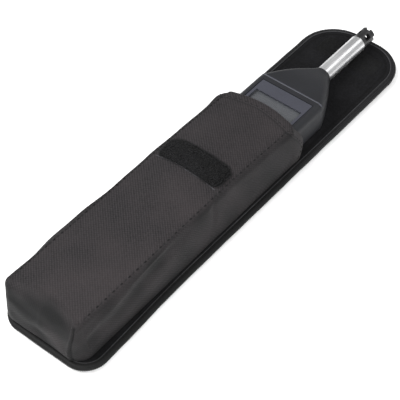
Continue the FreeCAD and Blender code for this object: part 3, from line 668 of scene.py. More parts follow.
@dataclass(frozen=True)
class Moulded:
    """Moulded plastic, rubber, glass or paint: one body colour with a fine tool texture.

    The tool's grain is drawn at about half a millimetre, the finest that shows.
    """

    name: str
    low: str
    high: str
    roughness: tuple[float, float]
    ior: float = 1.53
    grain: float = 0.5 * MM
    relief: float = 0.03 * MM
    coat: float = 0.0
    metallic: float = 0.0
    stretch: tuple[float, float, float] = (1.0, 1.0, 1.0)
    alpha: float = 1.0
    specular: float = 0.5

    def build(self) -> bpy.types.Material:
        """Makes the material: one noise drives colour, roughness and relief."""
        shader = {"Metallic": self.metallic, "Coat_Weight": self.coat, "Coat_Roughness": 0.12,
                  "Specular_IOR_Level": self.specular, "Alpha": self.alpha}
        if not self.metallic:
            shader["IOR"] = self.ior
        material, tree, bsdf = new_material(self.name, **shader)
        place = add_node(tree, "ShaderNodeTexCoord").outputs["Object"]
        scaled = add_node(tree, "ShaderNodeMapping", {"Vector": place, "Scale": self.stretch})
        grain = add_node(tree, "ShaderNodeTexNoise",
                         {"Vector": scaled.outputs["Vector"], "Scale": 0.6 / self.grain,
                          "Detail": 4.0, "Roughness": 0.6})
        broad = add_node(tree, "ShaderNodeTexNoise", {"Vector": place, "Scale": 45.0,
                                                      "Detail": 2.0})
        tone = add_node(tree, "ShaderNodeMath", {0: grain.outputs["Fac"], 1: 0.6, 2: 0.0},
                        operation="MULTIPLY_ADD")
        tone = add_node(tree, "ShaderNodeMath", {0: broad.outputs["Fac"], 1: 0.4,
                                                 2: tone.outputs[0]}, operation="MULTIPLY_ADD")
        ramp = add_node(tree, "ShaderNodeValToRGB", {"Fac": tone.outputs[0]})
        colour = ramp_between(ramp, [(0.35, self.low), (0.68, self.high)])
        tree.links.new(colour, bsdf.inputs["Base Color"])
        rough = add_node(tree, "ShaderNodeMapRange",
                         {"Value": tone.outputs[0], "From Min": 0.3, "From Max": 0.7,
                          "To Min": self.roughness[0], "To Max": self.roughness[1]})
        tree.links.new(rough.outputs["Result"], bsdf.inputs["Roughness"])
        bump = add_node(tree, "ShaderNodeBump", {"Height": grain.outputs["Fac"], "Strength": 0.6,
                                                 "Distance": self.relief})
        tree.links.new(bump.outputs["Normal"], bsdf.inputs["Normal"])
        return material


CASE_PLASTIC = Moulded(  # spark-eroded tool texture: matt with a faint broad gleam
    "abs_spark_textured_slate", "#141518", "#1c1d21", (0.5, 0.62), grain=0.45 * MM,
    relief=0.05 * MM, specular=0.3)
BEZEL_PLASTIC = Moulded(
    "abs_fine_textured_slate", "#303138", "#3c3d45", (0.38, 0.48), grain=0.4 * MM,
    relief=0.03 * MM, specular=0.3)
KEY_RUBBER = Moulded(
    "silicone_rubber_grey", "#77797f", "#888a90", (0.6, 0.72), ior=1.41, grain=0.7 * MM)
INNER_PLASTIC = Moulded("abs_moulded_black", "#1b1b1d", "#262628", (0.45, 0.6))
TUBE_METAL = Moulded(  # drawn and satin-polished: streaks run along the tube
    "satin_chromed_brass", "#d8d9da", "#f4f4f5", (0.3, 0.44), metallic=1.0, grain=0.5 * MM,
    relief=0.006 * MM, stretch=(1.0, 0.03, 1.0))
GUARD_PLASTIC = Moulded(  # glass-filled nylon: satin, slightly uneven
    "glass_filled_nylon_black", "#0b0b0c", "#1d1d1f", (0.34, 0.5), grain=0.8 * MM,
    relief=0.05 * MM)
SCREW_STEEL = Moulded("zinc_plated_steel", "#b9bcc0", "#d4d6d8", (0.25, 0.4), metallic=1.0)
SPRING_STEEL = Moulded("nickel_plated_steel", "#c6c4bd", "#dcdad4", (0.2, 0.32), metallic=1.0)
BOARD_MASK = Moulded("solder_mask_green", "#12502c", "#1a6338", (0.25, 0.35), coat=0.4)
CHIP_EPOXY = Moulded("moulded_epoxy_black", "#1a1a1b", "#29292a", (0.5, 0.62))
CELL_SLEEVE = Moulded("shrunk_pvc_sleeve_silver", "#8e9095", "#a3a5a9", (0.25, 0.35), coat=0.5)
SENSOR_CERAMIC = Moulded("sensor_ceramic_white", "#d9d8d2", "#eceae4", (0.4, 0.5))
LEAD_PVC = Moulded("pvc_insulation_red", "#8f2622", "#a8322c", (0.38, 0.5))
DISPLAY_GLASS = Moulded(  # unlit liquid-crystal cell over its reflector
    "liquid_crystal_cell_grey", "#5b5d61", "#5f6165", (0.12, 0.2), ior=1.52, coat=0.6,
    grain=3.0 * MM, relief=0.002 * MM)
WINDOW_CLEAR = Moulded(
    "acrylic_clear", "#0e0f10", "#141517", (0.02, 0.05), ior=1.49, grain=2.0 * MM,
    relief=0.001 * MM, alpha=0.15)
THREAD = Moulded("bonded_nylon_thread_black", "#060607", "#121213", (0.7, 0.85), grain=0.4 * MM,
                 specular=0.2)
# Paler than the tape: a real cord, and partly a painted highlight along the tape's inner edge
PALE_CORD_PAINTED_HIGHLIGHT = Moulded("braided_cord_painted_highlight", "#222223", "#3e3e40", (0.65, 0.8), grain=0.6 * MM,
                 relief=0.1 * MM, specular=0.2)
SELVEDGE = Moulded("woven_selvedge_grey", "#242426", "#454548", (0.6, 0.75), grain=1.1 * MM,
                   relief=0.1 * MM, specular=0.2)
LOOPS = Moulded("knitted_nylon_loop_tips", "#050505", "#1f1f21", (0.7, 0.85), grain=2.0 * MM,
                relief=0.1 * MM, specular=0.3)
PILE = Moulded("knitted_nylon_loops_black", "#030303", "#171718", (0.8, 0.95), grain=0.6 * MM,
               relief=0.3 * MM, specular=0.12)


class Wardrobe:
    """Builds each finish once and puts it on pieces and on frame nodes."""

    def __init__(self) -> None:
        """Starts with nothing built."""
        self.built: dict[str, bpy.types.Material] = {}

    def get(self, finish) -> bpy.types.Material:
        """The material of a finish, made the first time it is asked for."""
        if finish.name not in self.built:
            self.built[finish.name] = finish.build()
        return self.built[finish.name]

    def dress(self, piece: bpy.types.Object, *finishes) -> bpy.types.Object:
        """Gives a new piece its materials, in the order of its material slots."""
        piece.data.materials.clear()
        for finish in finishes:
            piece.data.materials.append(self.get(finish))
        return piece

    def dress_node(self, node: bpy.types.Object, finish) -> None:
        """Gives every material slot of a frame node one finish."""
        for holder in node.material_slots:
            holder.link = "OBJECT"
            holder.material = self.get(finish)


# Pouch ------------------------------------------------------------------------------------------
@dataclass
class PaddedPanel:
    """The padded back panel and the flap, cut in one, with a crease between them."""

    wardrobe: Wardrobe
    half: float
    ends: tuple[float, float]
    levels: tuple[float, float]
    crease_y: float
    corners: tuple[float, float] = (14.0 * MM, 24.0 * MM)
    tape_width: float = 3.2 * MM
    tape_lap: float = 0.8 * MM
    tape_proud: float = 0.33 * MM
    lining_thick: float = 0.55 * MM
    fold_reach: float = 4.0 * MM
    stitch_pitch: float = 3.2 * MM
    lean: float = 2.4 * MM
    lean_reach: float = 85.0 * MM

    def lean_end(self, piece: bpy.types.Object) -> None:
        """Lays the lower end a little to one side: x moves by a smooth step down the panel."""
        places = np.empty(len(piece.data.vertices) * 3, dtype=np.float32)
        piece.data.vertices.foreach_get("co", places)
        places = places.reshape(-1, 3)
        share = np.clip((self.ends[0] + self.lean_reach - places[:, 1]) / self.lean_reach, 0, 1)
        places[:, 0] += self.lean * share * share * (3 - 2 * share)
        piece.data.vertices.foreach_set("co", places.reshape(-1))
        piece.data.update()

    def rows(self, step: float, inset: float) -> np.ndarray:
        """Places along Y: evenly spaced, closer at the round ends and at the crease."""
        low, high = self.ends[0] + inset, self.ends[1] - inset
        even = np.arange(low, high, step)
        turn = 1 - np.cos(np.linspace(0, math.pi / 2, 16))
        near = self.crease_y + np.linspace(-7, 7, 29) * MM
        places = np.concatenate([even, low + turn * self.corners[0] * 0.9,
                                 high - turn * self.corners[1] * 0.9, near, [high]])
        places = np.unique(np.round(places, 6))
        return places[np.concatenate([[True], np.diff(places) > 0.12 * MM])]

    def slab(self, name: str, inset: float, low: float, high: float, pillow: float,
             columns: int = 64) -> bpy.types.Object:
        """A closed pad with the panel's outline.

        A row at y spans the outline's width there: half less the corner's radius plus the root of
        the radius squared less the square of how far the row is into the corner.  The top and the
        underside bow out by pillow times a curve that is flat inside and falls at the edge, and
        both dip at the crease.

        Args:
            name: the object's name.
            inset: distance inside the outline.
            low: height of the underside.
            high: height of the top.
            pillow: depth that the edge is rounded by.
            columns: points across.

        Returns:
            The new object.
        """
        y = self.rows(1.6 * MM, inset)
        half = self.half - inset
        radius = np.where(y < self.crease_y, self.corners[0], self.corners[1]) - inset
        from_end = np.minimum(y - self.ends[0] - inset, self.ends[1] - inset - y)
        into = np.clip(radius - from_end, 0, radius)
        width = half - radius + np.sqrt(np.maximum(radius ** 2 - into ** 2, 0))
        turn = np.linspace(0, math.pi, columns)
        across = -np.cos(turn)
        across = 0.55 * across + 0.45 * np.linspace(-1, 1, columns)
        x = width[:, None] * across[None]
        yy = np.broadcast_to(y[:, None], x.shape)
        deep = rounded_inset(x, yy, half, (self.ends[0] + inset, self.ends[1] - inset),
                             (self.corners[0] - inset, self.corners[1] - inset))
        edge = np.exp(-np.maximum(deep, 0) / (1.6 * MM))
        dip = np.exp(-((yy - self.crease_y) / (1.5 * MM)) ** 2)
        middle = (low + high) / 2
        uneven = ripple(x, yy, 34 * MM, 11) * 0.1 * MM * (1 - edge)
        top = high - pillow * edge - 0.45 * MM * dip * (1 - edge) + np.minimum(uneven, 0)
        bottom = low + pillow * edge + 0.25 * MM * dip
        last = np.isclose(from_end, 0, atol=1e-6)[:, None]
        top, bottom = np.where(last, middle, top), np.where(last, middle, bottom)
        border = np.exp(-((deep - 5.2 * MM) / (0.5 * MM)) ** 2)
        top = top - 0.18 * MM * border * (1 - last)
        upper = np.stack([x, yy, top], axis=-1)
        lower = np.stack([x, yy, bottom], axis=-1)[:, ::-1]
        points = np.concatenate([upper, lower], axis=1)
        # Darker along the border groove, and painted shade in the crease's dip
        shade = np.concatenate([0.8 * border + 0.5 * dip, 0 * border], axis=1)
        uv = np.concatenate([points[..., :2], points[:, :1, :2]], axis=1)
        piece = put_mesh(name, points, uv, shade, wrap=(False, True), weld=True)
        finish_shell(piece)
        return piece

    def tape(self) -> bpy.types.Object:
        """The binding: a folded tape's section carried round the outline, with a rib every pitch.

        The section is a flattened D.  Its distance from the outline and its height are the two
        columns of the table below, in millimetres from the outline and from the panel's middle,
        and each rib adds a sine along the path to both.
        """
        top = (self.levels[1] - self.levels[0]) / 2 / MM
        proud = top + self.tape_proud / MM
        wide = self.tape_width / MM
        section = np.array([
            [wide, top - 0.3], [wide, proud - 0.12], [wide - 0.25, proud - 0.02],
            [wide * 0.6, proud], [wide * 0.3, proud - 0.18], [0.35, proud - 0.75],
            [0.1, top * 0.45], [0.0, 0.0], [0.1, -top * 0.45], [0.35, 0.75 - proud],
            [wide * 0.3, 0.18 - proud], [wide * 0.6, -proud], [wide - 0.25, 0.02 - proud],
            [wide, 0.12 - proud], [wide, 0.3 - top]]) * MM
        path, normal, along = outline_path(self.half, self.ends, self.corners, 0.0, 0.37 * MM)
        rib = 0.07 * MM * (np.sin(2 * math.pi * along[:-1] / (1.1 * MM)) - 1)
        wander = 0.12 * MM * ripple(along[:-1], 0 * along[:-1], 23 * MM, 5)
        lift = np.sign(section[:, 1]) * np.minimum(np.abs(section[:, 1]) / (proud * MM), 1)
        far = section[None, :, 0] - rib[:, None] + np.abs(wander)[:, None]
        level = (self.levels[0] + self.levels[1]) / 2
        z = level + section[None, :, 1] + lift[None] * rib[:, None]
        xy = path[:, None] - normal[:, None] * far[..., None]
        points = np.concatenate([xy, z[..., None]], axis=-1)
        turn = np.linspace(0, 9 * MM, len(section) + 1)
        uv = np.stack(np.broadcast_arrays(along[:, None], turn[None]), axis=-1)
        # Painted shade: the tape is darker beside the pocket, fading towards the flap; the lower
        # part of the fold at the very edge is darkened less
        beside = 1 / (1 + np.exp((xy[..., 1] - self.crease_y) / (9 * MM)))
        outermost = np.exp(-(section[None, :, 1] / MM + 1.0) ** 2 / 0.5)
        outermost = outermost * (section[None, :, 0] < MM)
        shade = 0.95 * beside * (1 - 0.3 * outermost)
        piece = put_mesh("edge_binding", points, uv, shade, wrap=(True, True))
        finish_shell(piece)
        return piece

    def cord(self) -> bpy.types.Object:
        """The thin corded edge of the tape, a round section just inside it on the upper side.

        Its paler finish is partly a painted highlight along the tape's inner edge.
        """
        path, _, _ = outline_path(self.half, self.ends, self.corners, self.tape_width + 0.1 * MM,
                                  1.2 * MM)
        level = np.full((len(path), 1), self.levels[1] + 0.12 * MM)
        return tube_round("binding_cord_painted_highlight", np.concatenate([path, level], axis=1),
                          0.3 * MM, closed=True)

    def seam(self, top: bool) -> bpy.types.Object:
        """Stitches through the binding, on its upper or its lower side."""
        inset = self.tape_width * 0.68
        path, normal, _ = outline_path(self.half, self.ends, self.corners, inset,
                                       self.stitch_pitch)
        level = self.levels[1] + self.tape_proud if top else self.levels[0] - self.tape_proud
        up = np.zeros((len(path), 3))
        up[:, 2] = 1.0 if top else -1.0
        heading = np.stack([-normal[:, 1], normal[:, 0], 0 * normal[:, 0]], axis=-1)
        level += -0.02 * MM if top else 0.02 * MM
        places = np.concatenate([path, np.full((len(path), 1), level)], axis=1)
        name = "binding_stitches_upper" if top else "binding_stitches_lower"
        return stitches(name, places, heading, up, 2.3 * MM, 0.17 * MM)

    def build(self) -> list[bpy.types.Object]:
        """Makes the pad, its lining, the binding and its seams, and leans their lower end aside."""
        low, high = self.levels
        pad = self.slab("panel_and_flap_pad", self.tape_lap, low, high - self.lining_thick * 0.8,
                        0.5 * MM)
        lining = self.slab("panel_and_flap_lining", self.tape_lap, high - self.lining_thick, high,
                           0.12 * MM)
        self.wardrobe.dress(pad, WovenNylon())
        self.wardrobe.dress(lining, BrushedTricot())
        tape = self.wardrobe.dress(self.tape(), RibbedTape())
        cord = self.wardrobe.dress(self.cord(), PALE_CORD_PAINTED_HIGHLIGHT)
        seams = [self.wardrobe.dress(self.seam(top), THREAD) for top in (True, False)]
        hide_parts("back_panel_cloth", "back_panel_stiffener", "flap_cloth",
                    "flap_stiffener")
        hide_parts("back_panel_lining", "flap_lining")
        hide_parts("back_panel_binding", "flap_binding")
        pieces = [pad, lining, tape, cord, *seams]
        for piece in pieces:
            self.lean_end(piece)
            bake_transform(piece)
        return pieces


@dataclass
class Pocket:
    """The pocket: a crowned front sewn to walls that stand on the panel, open at the mouth."""

    wardrobe: Wardrobe
    base_z: float
    seam_z: float
    crown_z: float
    mouth_y: float
    half_base: float
    half_top: float
    end_base: float
    end_top: float
    corner: float = 9.0 * MM
    corner_top: float = 3.0 * MM
    fullest_y: float = -21.5 * MM
    drawn_aside: float = 1.4 * MM
    sag: float = 3.5 * MM
    ear: float = 7.0 * MM
    thick: float = 1.1 * MM
    stitch_pitch: float = 6.2 * MM
    hem: float = 5.0 * MM
    side_count: int = 214
    corner_count: int = 16
    end_count: int = 40
    wall_count: int = 28
    bend_count: int = 9
    top_count: int = 30
    pressure: float = 4.0
    longest_move: float = 0.8 * MM
    sewn_reach: float = 14.0 * MM
    edge_step: float = 1.6 * MM
    crown_rise: float = 1.6 * MM
    crown_swell: float = 2.4 * MM
    crown_reach: float = 34.0 * MM
    seam_column: float = 0.75
    skin_points: np.ndarray = field(default=None, init=False)

    def outline(self, half: float, end: float, mouth: np.ndarray, radius: float) -> np.ndarray:
        """The U of the walls seen from above: a side, a quarter circle, the end and back.

        Args:
            half: half the width.
            end: y of the end wall.
            mouth: y of the mouth, one value for each level.
            radius: of the upright corners.

        Returns:
            Places (samples, levels, 2), from the left of the mouth round to its right.
        """
        share = np.linspace(0, 1, self.side_count)[:, None]
        side_y = mouth[None] + share * (end + radius - mouth[None])
        quarter = np.linspace(0, math.pi / 2, self.corner_count + 2)[1:-1, None]
        curve_x = half - radius + radius * np.cos(quarter) + 0 * mouth[None]
        curve_y = end + radius - radius * np.sin(quarter) + 0 * mouth[None]
        line_x = np.linspace(half - radius, radius - half, self.end_count)[:, None] + 0 * mouth
        line_y = np.full_like(line_x, end)
        right_x = np.concatenate([np.full_like(side_y, half), curve_x])
        right_y = np.concatenate([side_y, curve_y])
        x = np.concatenate([-right_x, -line_x, right_x[::-1]])
        y = np.concatenate([right_y, line_y, right_y[::-1]])
        return np.stack([x, y], axis=-1)

    def skin(self) -> tuple[np.ndarray, np.ndarray, np.ndarray, np.ndarray]:
        """The outer face of the whole pocket as one grid.

        Rows go round the walls, and columns go up a wall, over a rounded edge and across the front
        to its middle line.  A wall point is the base outline mixed with the top outline by its
        height.  The edge is a quadratic curve whose control point is the sharp corner.  A front
        point is the corner mixed with the middle line, raised by a parabola across.

        Returns:
            Points (rows, columns, 3), pattern coordinates, shade and which diagonal shows.
        """
        top_z = self.crown_z - self.edge_step
        height = np.linspace(0, 1, self.wall_count)
        flare = self.ear * np.sin(math.pi * height ** 0.85) ** 1.3
        mouth = self.mouth_y - self.sag * height + flare
        halves = self.half_base + (self.half_top - self.half_base) * height
        ends = self.end_base + (self.end_top - self.end_base) * height
        radii = self.corner - (self.corner - self.corner_top) * height
        walls = np.stack([self.outline(halves[k], ends[k], mouth[k:k + 1], radii[k])[:, 0]
                          for k in range(self.wall_count)], axis=1)
        rows = len(walls)
        along = np.arange(rows)
        from_mouth = np.minimum(along, rows - 1 - along)
        sides = from_mouth < self.side_count
        # Distance round the end: 0 on the sides, 1 on the end wall
        endness = np.clip((from_mouth - self.side_count + 1) / (self.corner_count + 1), 0, 1)
        bend = (2.6 + 5.6 * endness ** 3) * MM
        wall_z = self.base_z + (top_z - self.base_z) * height
        levels = np.broadcast_to(wall_z[None, :, None], (rows, len(height), 1))
        wall = np.concatenate([walls, levels], axis=-1)
        corner = wall[:, -1].copy()
        spine_end = self.end_top + self.half_top
        share = np.clip(from_mouth / (self.side_count - 1), 0, 1)
        spine = np.zeros_like(corner)
        spine[:, 1] = self.mouth_y + share * (spine_end - self.mouth_y)
        spine[:, 2] = top_z
        inward = spine - corner
        reach = np.linalg.norm(inward, axis=1, keepdims=True)
        inward = inward / reach
        down = wall[:, 0] - corner
        down = down / np.linalg.norm(down, axis=1, keepdims=True)
        rise = (self.seam_z - self.base_z) - bend
        keep = rise[:, None] / (self.seam_z - self.base_z)
        straight = wall[:, 0][:, None] + (corner - wall[:, 0])[:, None] * (height * keep)[..., None]
        straight[..., 1] = np.where(sides[:, None],
                                    self.remap(wall[..., 1], height, keep), straight[..., 1])
        start = corner + down * bend[:, None]
        start[:, 1] = np.where(sides, straight[:, -1, 1], start[:, 1])
        finish = corner + inward * bend[:, None]
        t = np.linspace(0, 1, self.bend_count + 2)[None, 1:-1, None]
        edge = (1 - t) ** 2 * start[:, None] + 2 * t * (1 - t) * corner[:, None] \
            + t ** 2 * finish[:, None]
        u = np.linspace(0, 1, self.top_count)[None, :, None]
        front = finish[:, None] + u * (spine - finish)[:, None]
        points = np.concatenate([straight, edge, front], axis=1)
        front_from = self.wall_count + self.bend_count
        self.crown(points, sides, front_from)
        self.draw_aside(points)
        self.relief(points, sides, endness, from_mouth, front_from)
        uv, turned = self.pattern(points, endness, front_from)
        shade = self.shade(points, endness, from_mouth, front_from)
        return points, uv, shade, turned

    def crown(self, points: np.ndarray, sides: np.ndarray, front_from: int) -> None:
        """Raises the front by a parabola across it, and bows the mouth's edge the same way.

        The rise fades towards the end wall by a smooth step, and a slow random slack and one bell
        curve, where nothing fills the pocket, lower it.

        Args:
            points: the grid, changed in place.
            sides: whether each row is on a side wall.
            front_from: first column of the front.
        """
        x, y = points[..., 0], points[..., 1]
        fade = np.clip((y - self.end_top) / (26 * MM), 0, 1)
        fade = fade * fade * (3 - 2 * fade)
        over = np.clip(1 - (x / self.half_top) ** 2, 0, 1)
        lift = self.rise(y) * over * (0.35 + 0.65 * fade)
        lift[:, :self.wall_count] = 0
        empty = np.exp(-(x / (15 * MM)) ** 2) * np.exp(-((y + 84 * MM) / (34 * MM)) ** 2)
        slack = ripple(x, y, 46 * MM, 3) * 0.25 * MM - 0.3 * MM * empty
        lift[:, front_from:] += np.minimum(slack, 0)[:, front_from:] \
            * np.linspace(0, 1, self.top_count) ** 0.5
        points[..., 2] += lift
        straight_line = self.sag * np.abs(x) / self.half_top
        dip = self.sag * (x / self.half_top) ** 2
        near = np.clip(1 - (self.mouth_y - y) / (30 * MM), 0, 1) ** 2
        bow = (straight_line - dip) * near * sides[:, None]
        bow[:, :front_from] = 0
        points[..., 1] += bow

    def draw_aside(self, points: np.ndarray) -> None:
        """Moves the mouth's upper part sideways, with the meter, by a square down the pocket."""
        drawn = np.clip(1 - (self.mouth_y - points[..., 1]) / (70 * MM), 0, 1) ** 2
        raised = np.clip((points[..., 2] - self.base_z) / (self.seam_z - self.base_z), 0, 1)
        points[..., 0] += self.drawn_aside * drawn * raised

    def pattern(self, points: np.ndarray, endness: np.ndarray,
                front_from: int) -> tuple[np.ndarray, np.ndarray]:
        """Lays the weave: length round and up the side walls, plain x and y on the front.

        The end wall goes on from the front without a seam: its y is the front's edge less the
        length down the wall.

        Args:
            points: the finished grid.
            endness: 0 on the sides, 1 on the end wall.
            front_from: first column of the front.

        Returns:
            Pattern coordinates (rows, columns, 2) and which diagonal shows.
        """
        uv = np.zeros(points.shape[:2] + (2,))
        round_base = np.linalg.norm(np.diff(points[:, 0, :2], axis=0), axis=1)
        steps = np.linalg.norm(np.diff(points, axis=1), axis=-1)
        uv[..., 0] = np.concatenate([[0], np.cumsum(round_base)])[:, None]
        uv[:, 1:, 1] = np.cumsum(steps, axis=1)
        edge = front_from - 2
        uv[:, edge:] = points[:, edge:, :2]
        climb = np.cumsum(steps[:, ::-1], axis=1)[:, ::-1]
        at_end = (endness > 0.75)[:, None]
        down = climb[:, :edge] - climb[:, edge:edge + 1]
        uv[:, :edge, 0] = np.where(at_end, points[:, :edge, 0], uv[:, :edge, 0])
        uv[:, :edge, 1] = np.where(at_end, points[:, edge:edge + 1, 1] - down, uv[:, :edge, 1])
        column = np.arange(points.shape[1])[None]
        turned = at_end * np.clip((self.wall_count + 3 - column) / 6, 0, 1)
        return uv, turned

    def remap(self, values: np.ndarray, height: np.ndarray, keep: np.ndarray) -> np.ndarray:
        """Reads values that run up a wall at a wall that stops short, by straight lines between.

        Args:
            values: one row of values up each wall.
            height: where they stand, from 0 to 1.
            keep: how much of each wall is left, shaped (rows, 1).

        Returns:
            Values of the same shape, read at height times keep.
        """
        place = (height[None] * keep) * (len(height) - 1)
        low = np.clip(np.floor(place).astype(int), 0, len(height) - 2)
        part = place - low
        first = np.take_along_axis(values, low, axis=1)
        return first + part * (np.take_along_axis(values, low + 1, axis=1) - first)

    def relief(self, points: np.ndarray, sides: np.ndarray, endness: np.ndarray,
               from_mouth: np.ndarray, front_from: int) -> None:
        """Moves the skin along its normals by the sum of its walls', seams' and mouth's relief.

        Args:
            points: the grid, changed in place.
            sides: whether each row is on a side wall.
            endness: 0 on the sides, 1 on the end wall.
            from_mouth: row number from the nearer side of the mouth.
            front_from: first column of the front.
        """
        normal = grid_normals(points)
        columns = np.arange(points.shape[1])
        up = np.clip(columns / front_from, 0, 1)[None]
        run = self.run(from_mouth)
        move = self.swelling(points, endness, run, up)
        move += self.seam_relief(endness, run, columns - front_from + 1)
        move += self.end_seam_relief(from_mouth, up)
        move += self.slack_relief(points, sides, endness, run, up)
        move += self.mouth_relief(points, sides, run, up)
        points += normal * (move * MM)[..., None]

    def run(self, from_mouth: np.ndarray) -> np.ndarray:
        """Distance of each row from the mouth, as a column."""
        return (from_mouth * (self.mouth_y - self.end_base) / self.side_count)[:, None]

    def seam_fade(self, endness: np.ndarray) -> np.ndarray:
        """Strength of the top seam's marks, as a column: it dies away round the end's corners."""
        return np.clip(1 - endness[:, None] * 1.4, 0, 1)

    def swelling(self, points: np.ndarray, endness: np.ndarray, run: np.ndarray,
                 up: np.ndarray) -> np.ndarray:
        """Bulging walls, a half sine up each one, dented by chance, and tucked under at the base.

        Args:
            points: the grid.
            endness: 0 on the sides, 1 on the end wall.
            run: distance from the mouth.
            up: height on the wall, from 0 to 1.

        Returns:
            Movement in millimetres.
        """
        on_left_or_right = np.sign(points[:, :1, 0])
        swell = np.sin(math.pi * up) ** 0.8 * (up < 1)
        wave = ripple(run / MM, up * 24 + 40 * (on_left_or_right > 0), 31, 8)
        dents = ripple(points[..., 0] / MM, points[..., 2] / MM, 17, 12, 5)
        tucked = np.exp(-(up / 0.035) ** 2)
        return (0.55 + 0.9 * endness[:, None] + 0.3 * wave) * swell - 0.7 * tucked \
            + 0.55 * dents * endness[:, None] * swell

    def seam_relief(self, endness: np.ndarray, run: np.ndarray,
                    from_seam: np.ndarray) -> np.ndarray:
        """The top seam: a shallow trough with a pucker at every stitch, and a soft shoulder.

        Args:
            endness: 0 on the sides, 1 on the end wall.
            run: distance from the mouth.
            from_seam: columns from the seam.

        Returns:
            Movement in millimetres.
        """
        away = from_seam[None] * self.seam_column
        beat = 0.5 + 0.5 * np.cos(2 * math.pi * run / self.stitch_pitch)
        trough = np.exp(-(away / 1.1) ** 2)
        shoulder = np.exp(-((np.abs(away) - 2.4) / 1.3) ** 2)
        return (-0.35 * trough * beat + 0.06 * shoulder) * self.seam_fade(endness)

    def end_seam_relief(self, from_mouth: np.ndarray, up: np.ndarray) -> np.ndarray:
        """The end wall's upright seam, in millimetres: a groove, with a lip beside it."""
        off = self.end_seam(from_mouth, up)
        lip, groove = np.exp(-((off - 1.7) / 1.0) ** 2), np.exp(-(off / 0.75) ** 2)
        return (0.7 * lip - 0.9 * groove) * (up < 0.86)

    def slack_relief(self, points: np.ndarray, sides: np.ndarray, endness: np.ndarray,
                     run: np.ndarray, up: np.ndarray) -> np.ndarray:
        """Slack cloth below the meter's end: a long fold, a slanting crease and the end's hollows.

        Each is a product of a bell curve across it and a fade along it.

        Args:
            points: the grid.
            sides: whether each row is on a side wall.
            endness: 0 on the sides, 1 on the end wall.
            run: distance from the mouth.
            up: height on the wall, from 0 to 1.

        Returns:
            Movement in millimetres.
        """
        ridge, trough_below = self.fold(run, up)
        slant = (run / MM - 72 - 16 * (0.85 - up)) / 1.9
        crease = np.exp(-slant ** 2) * np.sin(math.pi * np.clip((up - 0.3) / 0.55, 0, 1))
        on_sides = 0.9 * (ridge - trough_below) - 0.8 * crease
        return on_sides * sides[:, None] - 1.1 * self.hollows(points, endness)

    def mouth_relief(self, points: np.ndarray, sides: np.ndarray, run: np.ndarray,
                     up: np.ndarray) -> np.ndarray:
        """The gathered sides of the mouth: a bulge, then an inward curl, crumpled by a sine.

        Args:
            points: the grid.
            sides: whether each row is on a side wall.
            run: distance from the mouth.
            up: height on the wall, from 0 to 1.

        Returns:
            Movement in millimetres.
        """
        gap = np.clip(run / MM, 0, None)
        arch = np.sin(math.pi * up)
        bulge = np.exp(-((gap - 7.5) / 5.0) ** 2) * arch ** 0.8
        curl = np.clip(1 - gap / 5.5, 0, 1) ** 1.6 * arch ** 0.7
        crumple = np.sin(up * 24 / 3.4 + 1.7 * np.sin(gap / 3.1) + np.sign(points[:, :1, 0])) \
            * np.exp(-gap / 6.5)
        return (1.15 * bulge - 2.6 * curl + 0.28 * crumple * (curl > 0)) * sides[:, None] * (up < 1)

    def shade(self, points: np.ndarray, endness: np.ndarray, from_mouth: np.ndarray,
              front_from: int) -> np.ndarray:
        """Where the cloth is darkest: needle holes, the corner seams, and painted shade in the fold
        at the base, behind the hem and on the walls.

        Args:
            points: the grid.
            endness: 0 on the sides, 1 on the end wall.
            from_mouth: row number from the nearer side of the mouth.
            front_from: first column of the front.

        Returns:
            Values from 0 to 1.
        """
        columns = np.arange(points.shape[1])
        run = self.run(from_mouth)
        from_seam = (columns - front_from + 1)[None] * self.seam_column
        hole = (0.5 + 0.5 * np.cos(2 * math.pi * run / self.stitch_pitch)) ** 5
        dots = np.exp(-(from_seam / 0.8) ** 2) * hole * self.seam_fade(endness)
        # Painted shade: a dark line just behind the hem's inner edge
        behind_hem = np.exp(-((run - self.hem - 0.5 * MM) / (0.5 * MM)) ** 2)
        up = np.clip(columns / front_from, 0, 1)[None]
        corner = np.exp(-(self.end_seam(from_mouth, up) / 0.55) ** 2) * (up < 0.84)
        # Painted shade where the wall tucks under at its base
        fold = np.exp(-(up / 0.03) ** 2)
        # Painted shade: the walls are a little darker than the front, more so at the end, in its
        # hollows and under the slack fold's ridge, and it varies at random across them
        wall = (0.46 + 0.3 * endness[:, None]) * (up < 1) * np.clip((1 - up) / 0.15, 0, 1)
        wall += 0.3 * self.hollows(points, endness) + 0.25 * self.fold(run, up)[1]
        wall = wall * (1 + 0.45 * ripple(points[..., 1] / MM + points[..., 0] / MM,
                                         points[..., 2] / MM, 21, 14, 5))
        return np.clip(dots + corner + 0.7 * fold + 0.75 * behind_hem + wall, 0, 1)

    def fold(self, run: np.ndarray, up: np.ndarray) -> tuple[np.ndarray, np.ndarray]:
        """The slack fold of a side wall: a bell curve about a rising line, and one below it.

        Args:
            run: distance from the mouth.
            up: height on the wall, from 0 to 1.

        Returns:
            The ridge and the trough, from 0 to 1, both fading towards the mouth.
        """
        climb = 0.6 + 0.5 * (171 - run / MM) / 100
        lasts = np.clip((run / MM - 80) / 40, 0, 1) * (up < 1)
        ridge = np.exp(-((up - climb) / 0.08) ** 2)
        below = np.exp(-((up - climb + 0.22) / 0.12) ** 2)
        return ridge * lasts, below * lasts

    def hollows(self, points: np.ndarray, endness: np.ndarray) -> np.ndarray:
        """Two soft hollows of the empty end wall: the sum of two bell curves, from 0 to 1."""
        x, z = points[..., 0] / MM, points[..., 2] / MM
        near_corner = np.exp(-((x + 16.4) / 7) ** 2 - ((z - 23.5) / 3.8) ** 2)
        low_middle = np.exp(-((x + 0.6) / 5) ** 2 - ((z - 12) / 4) ** 2)
        return (near_corner + 0.7 * low_middle) * endness[:, None]

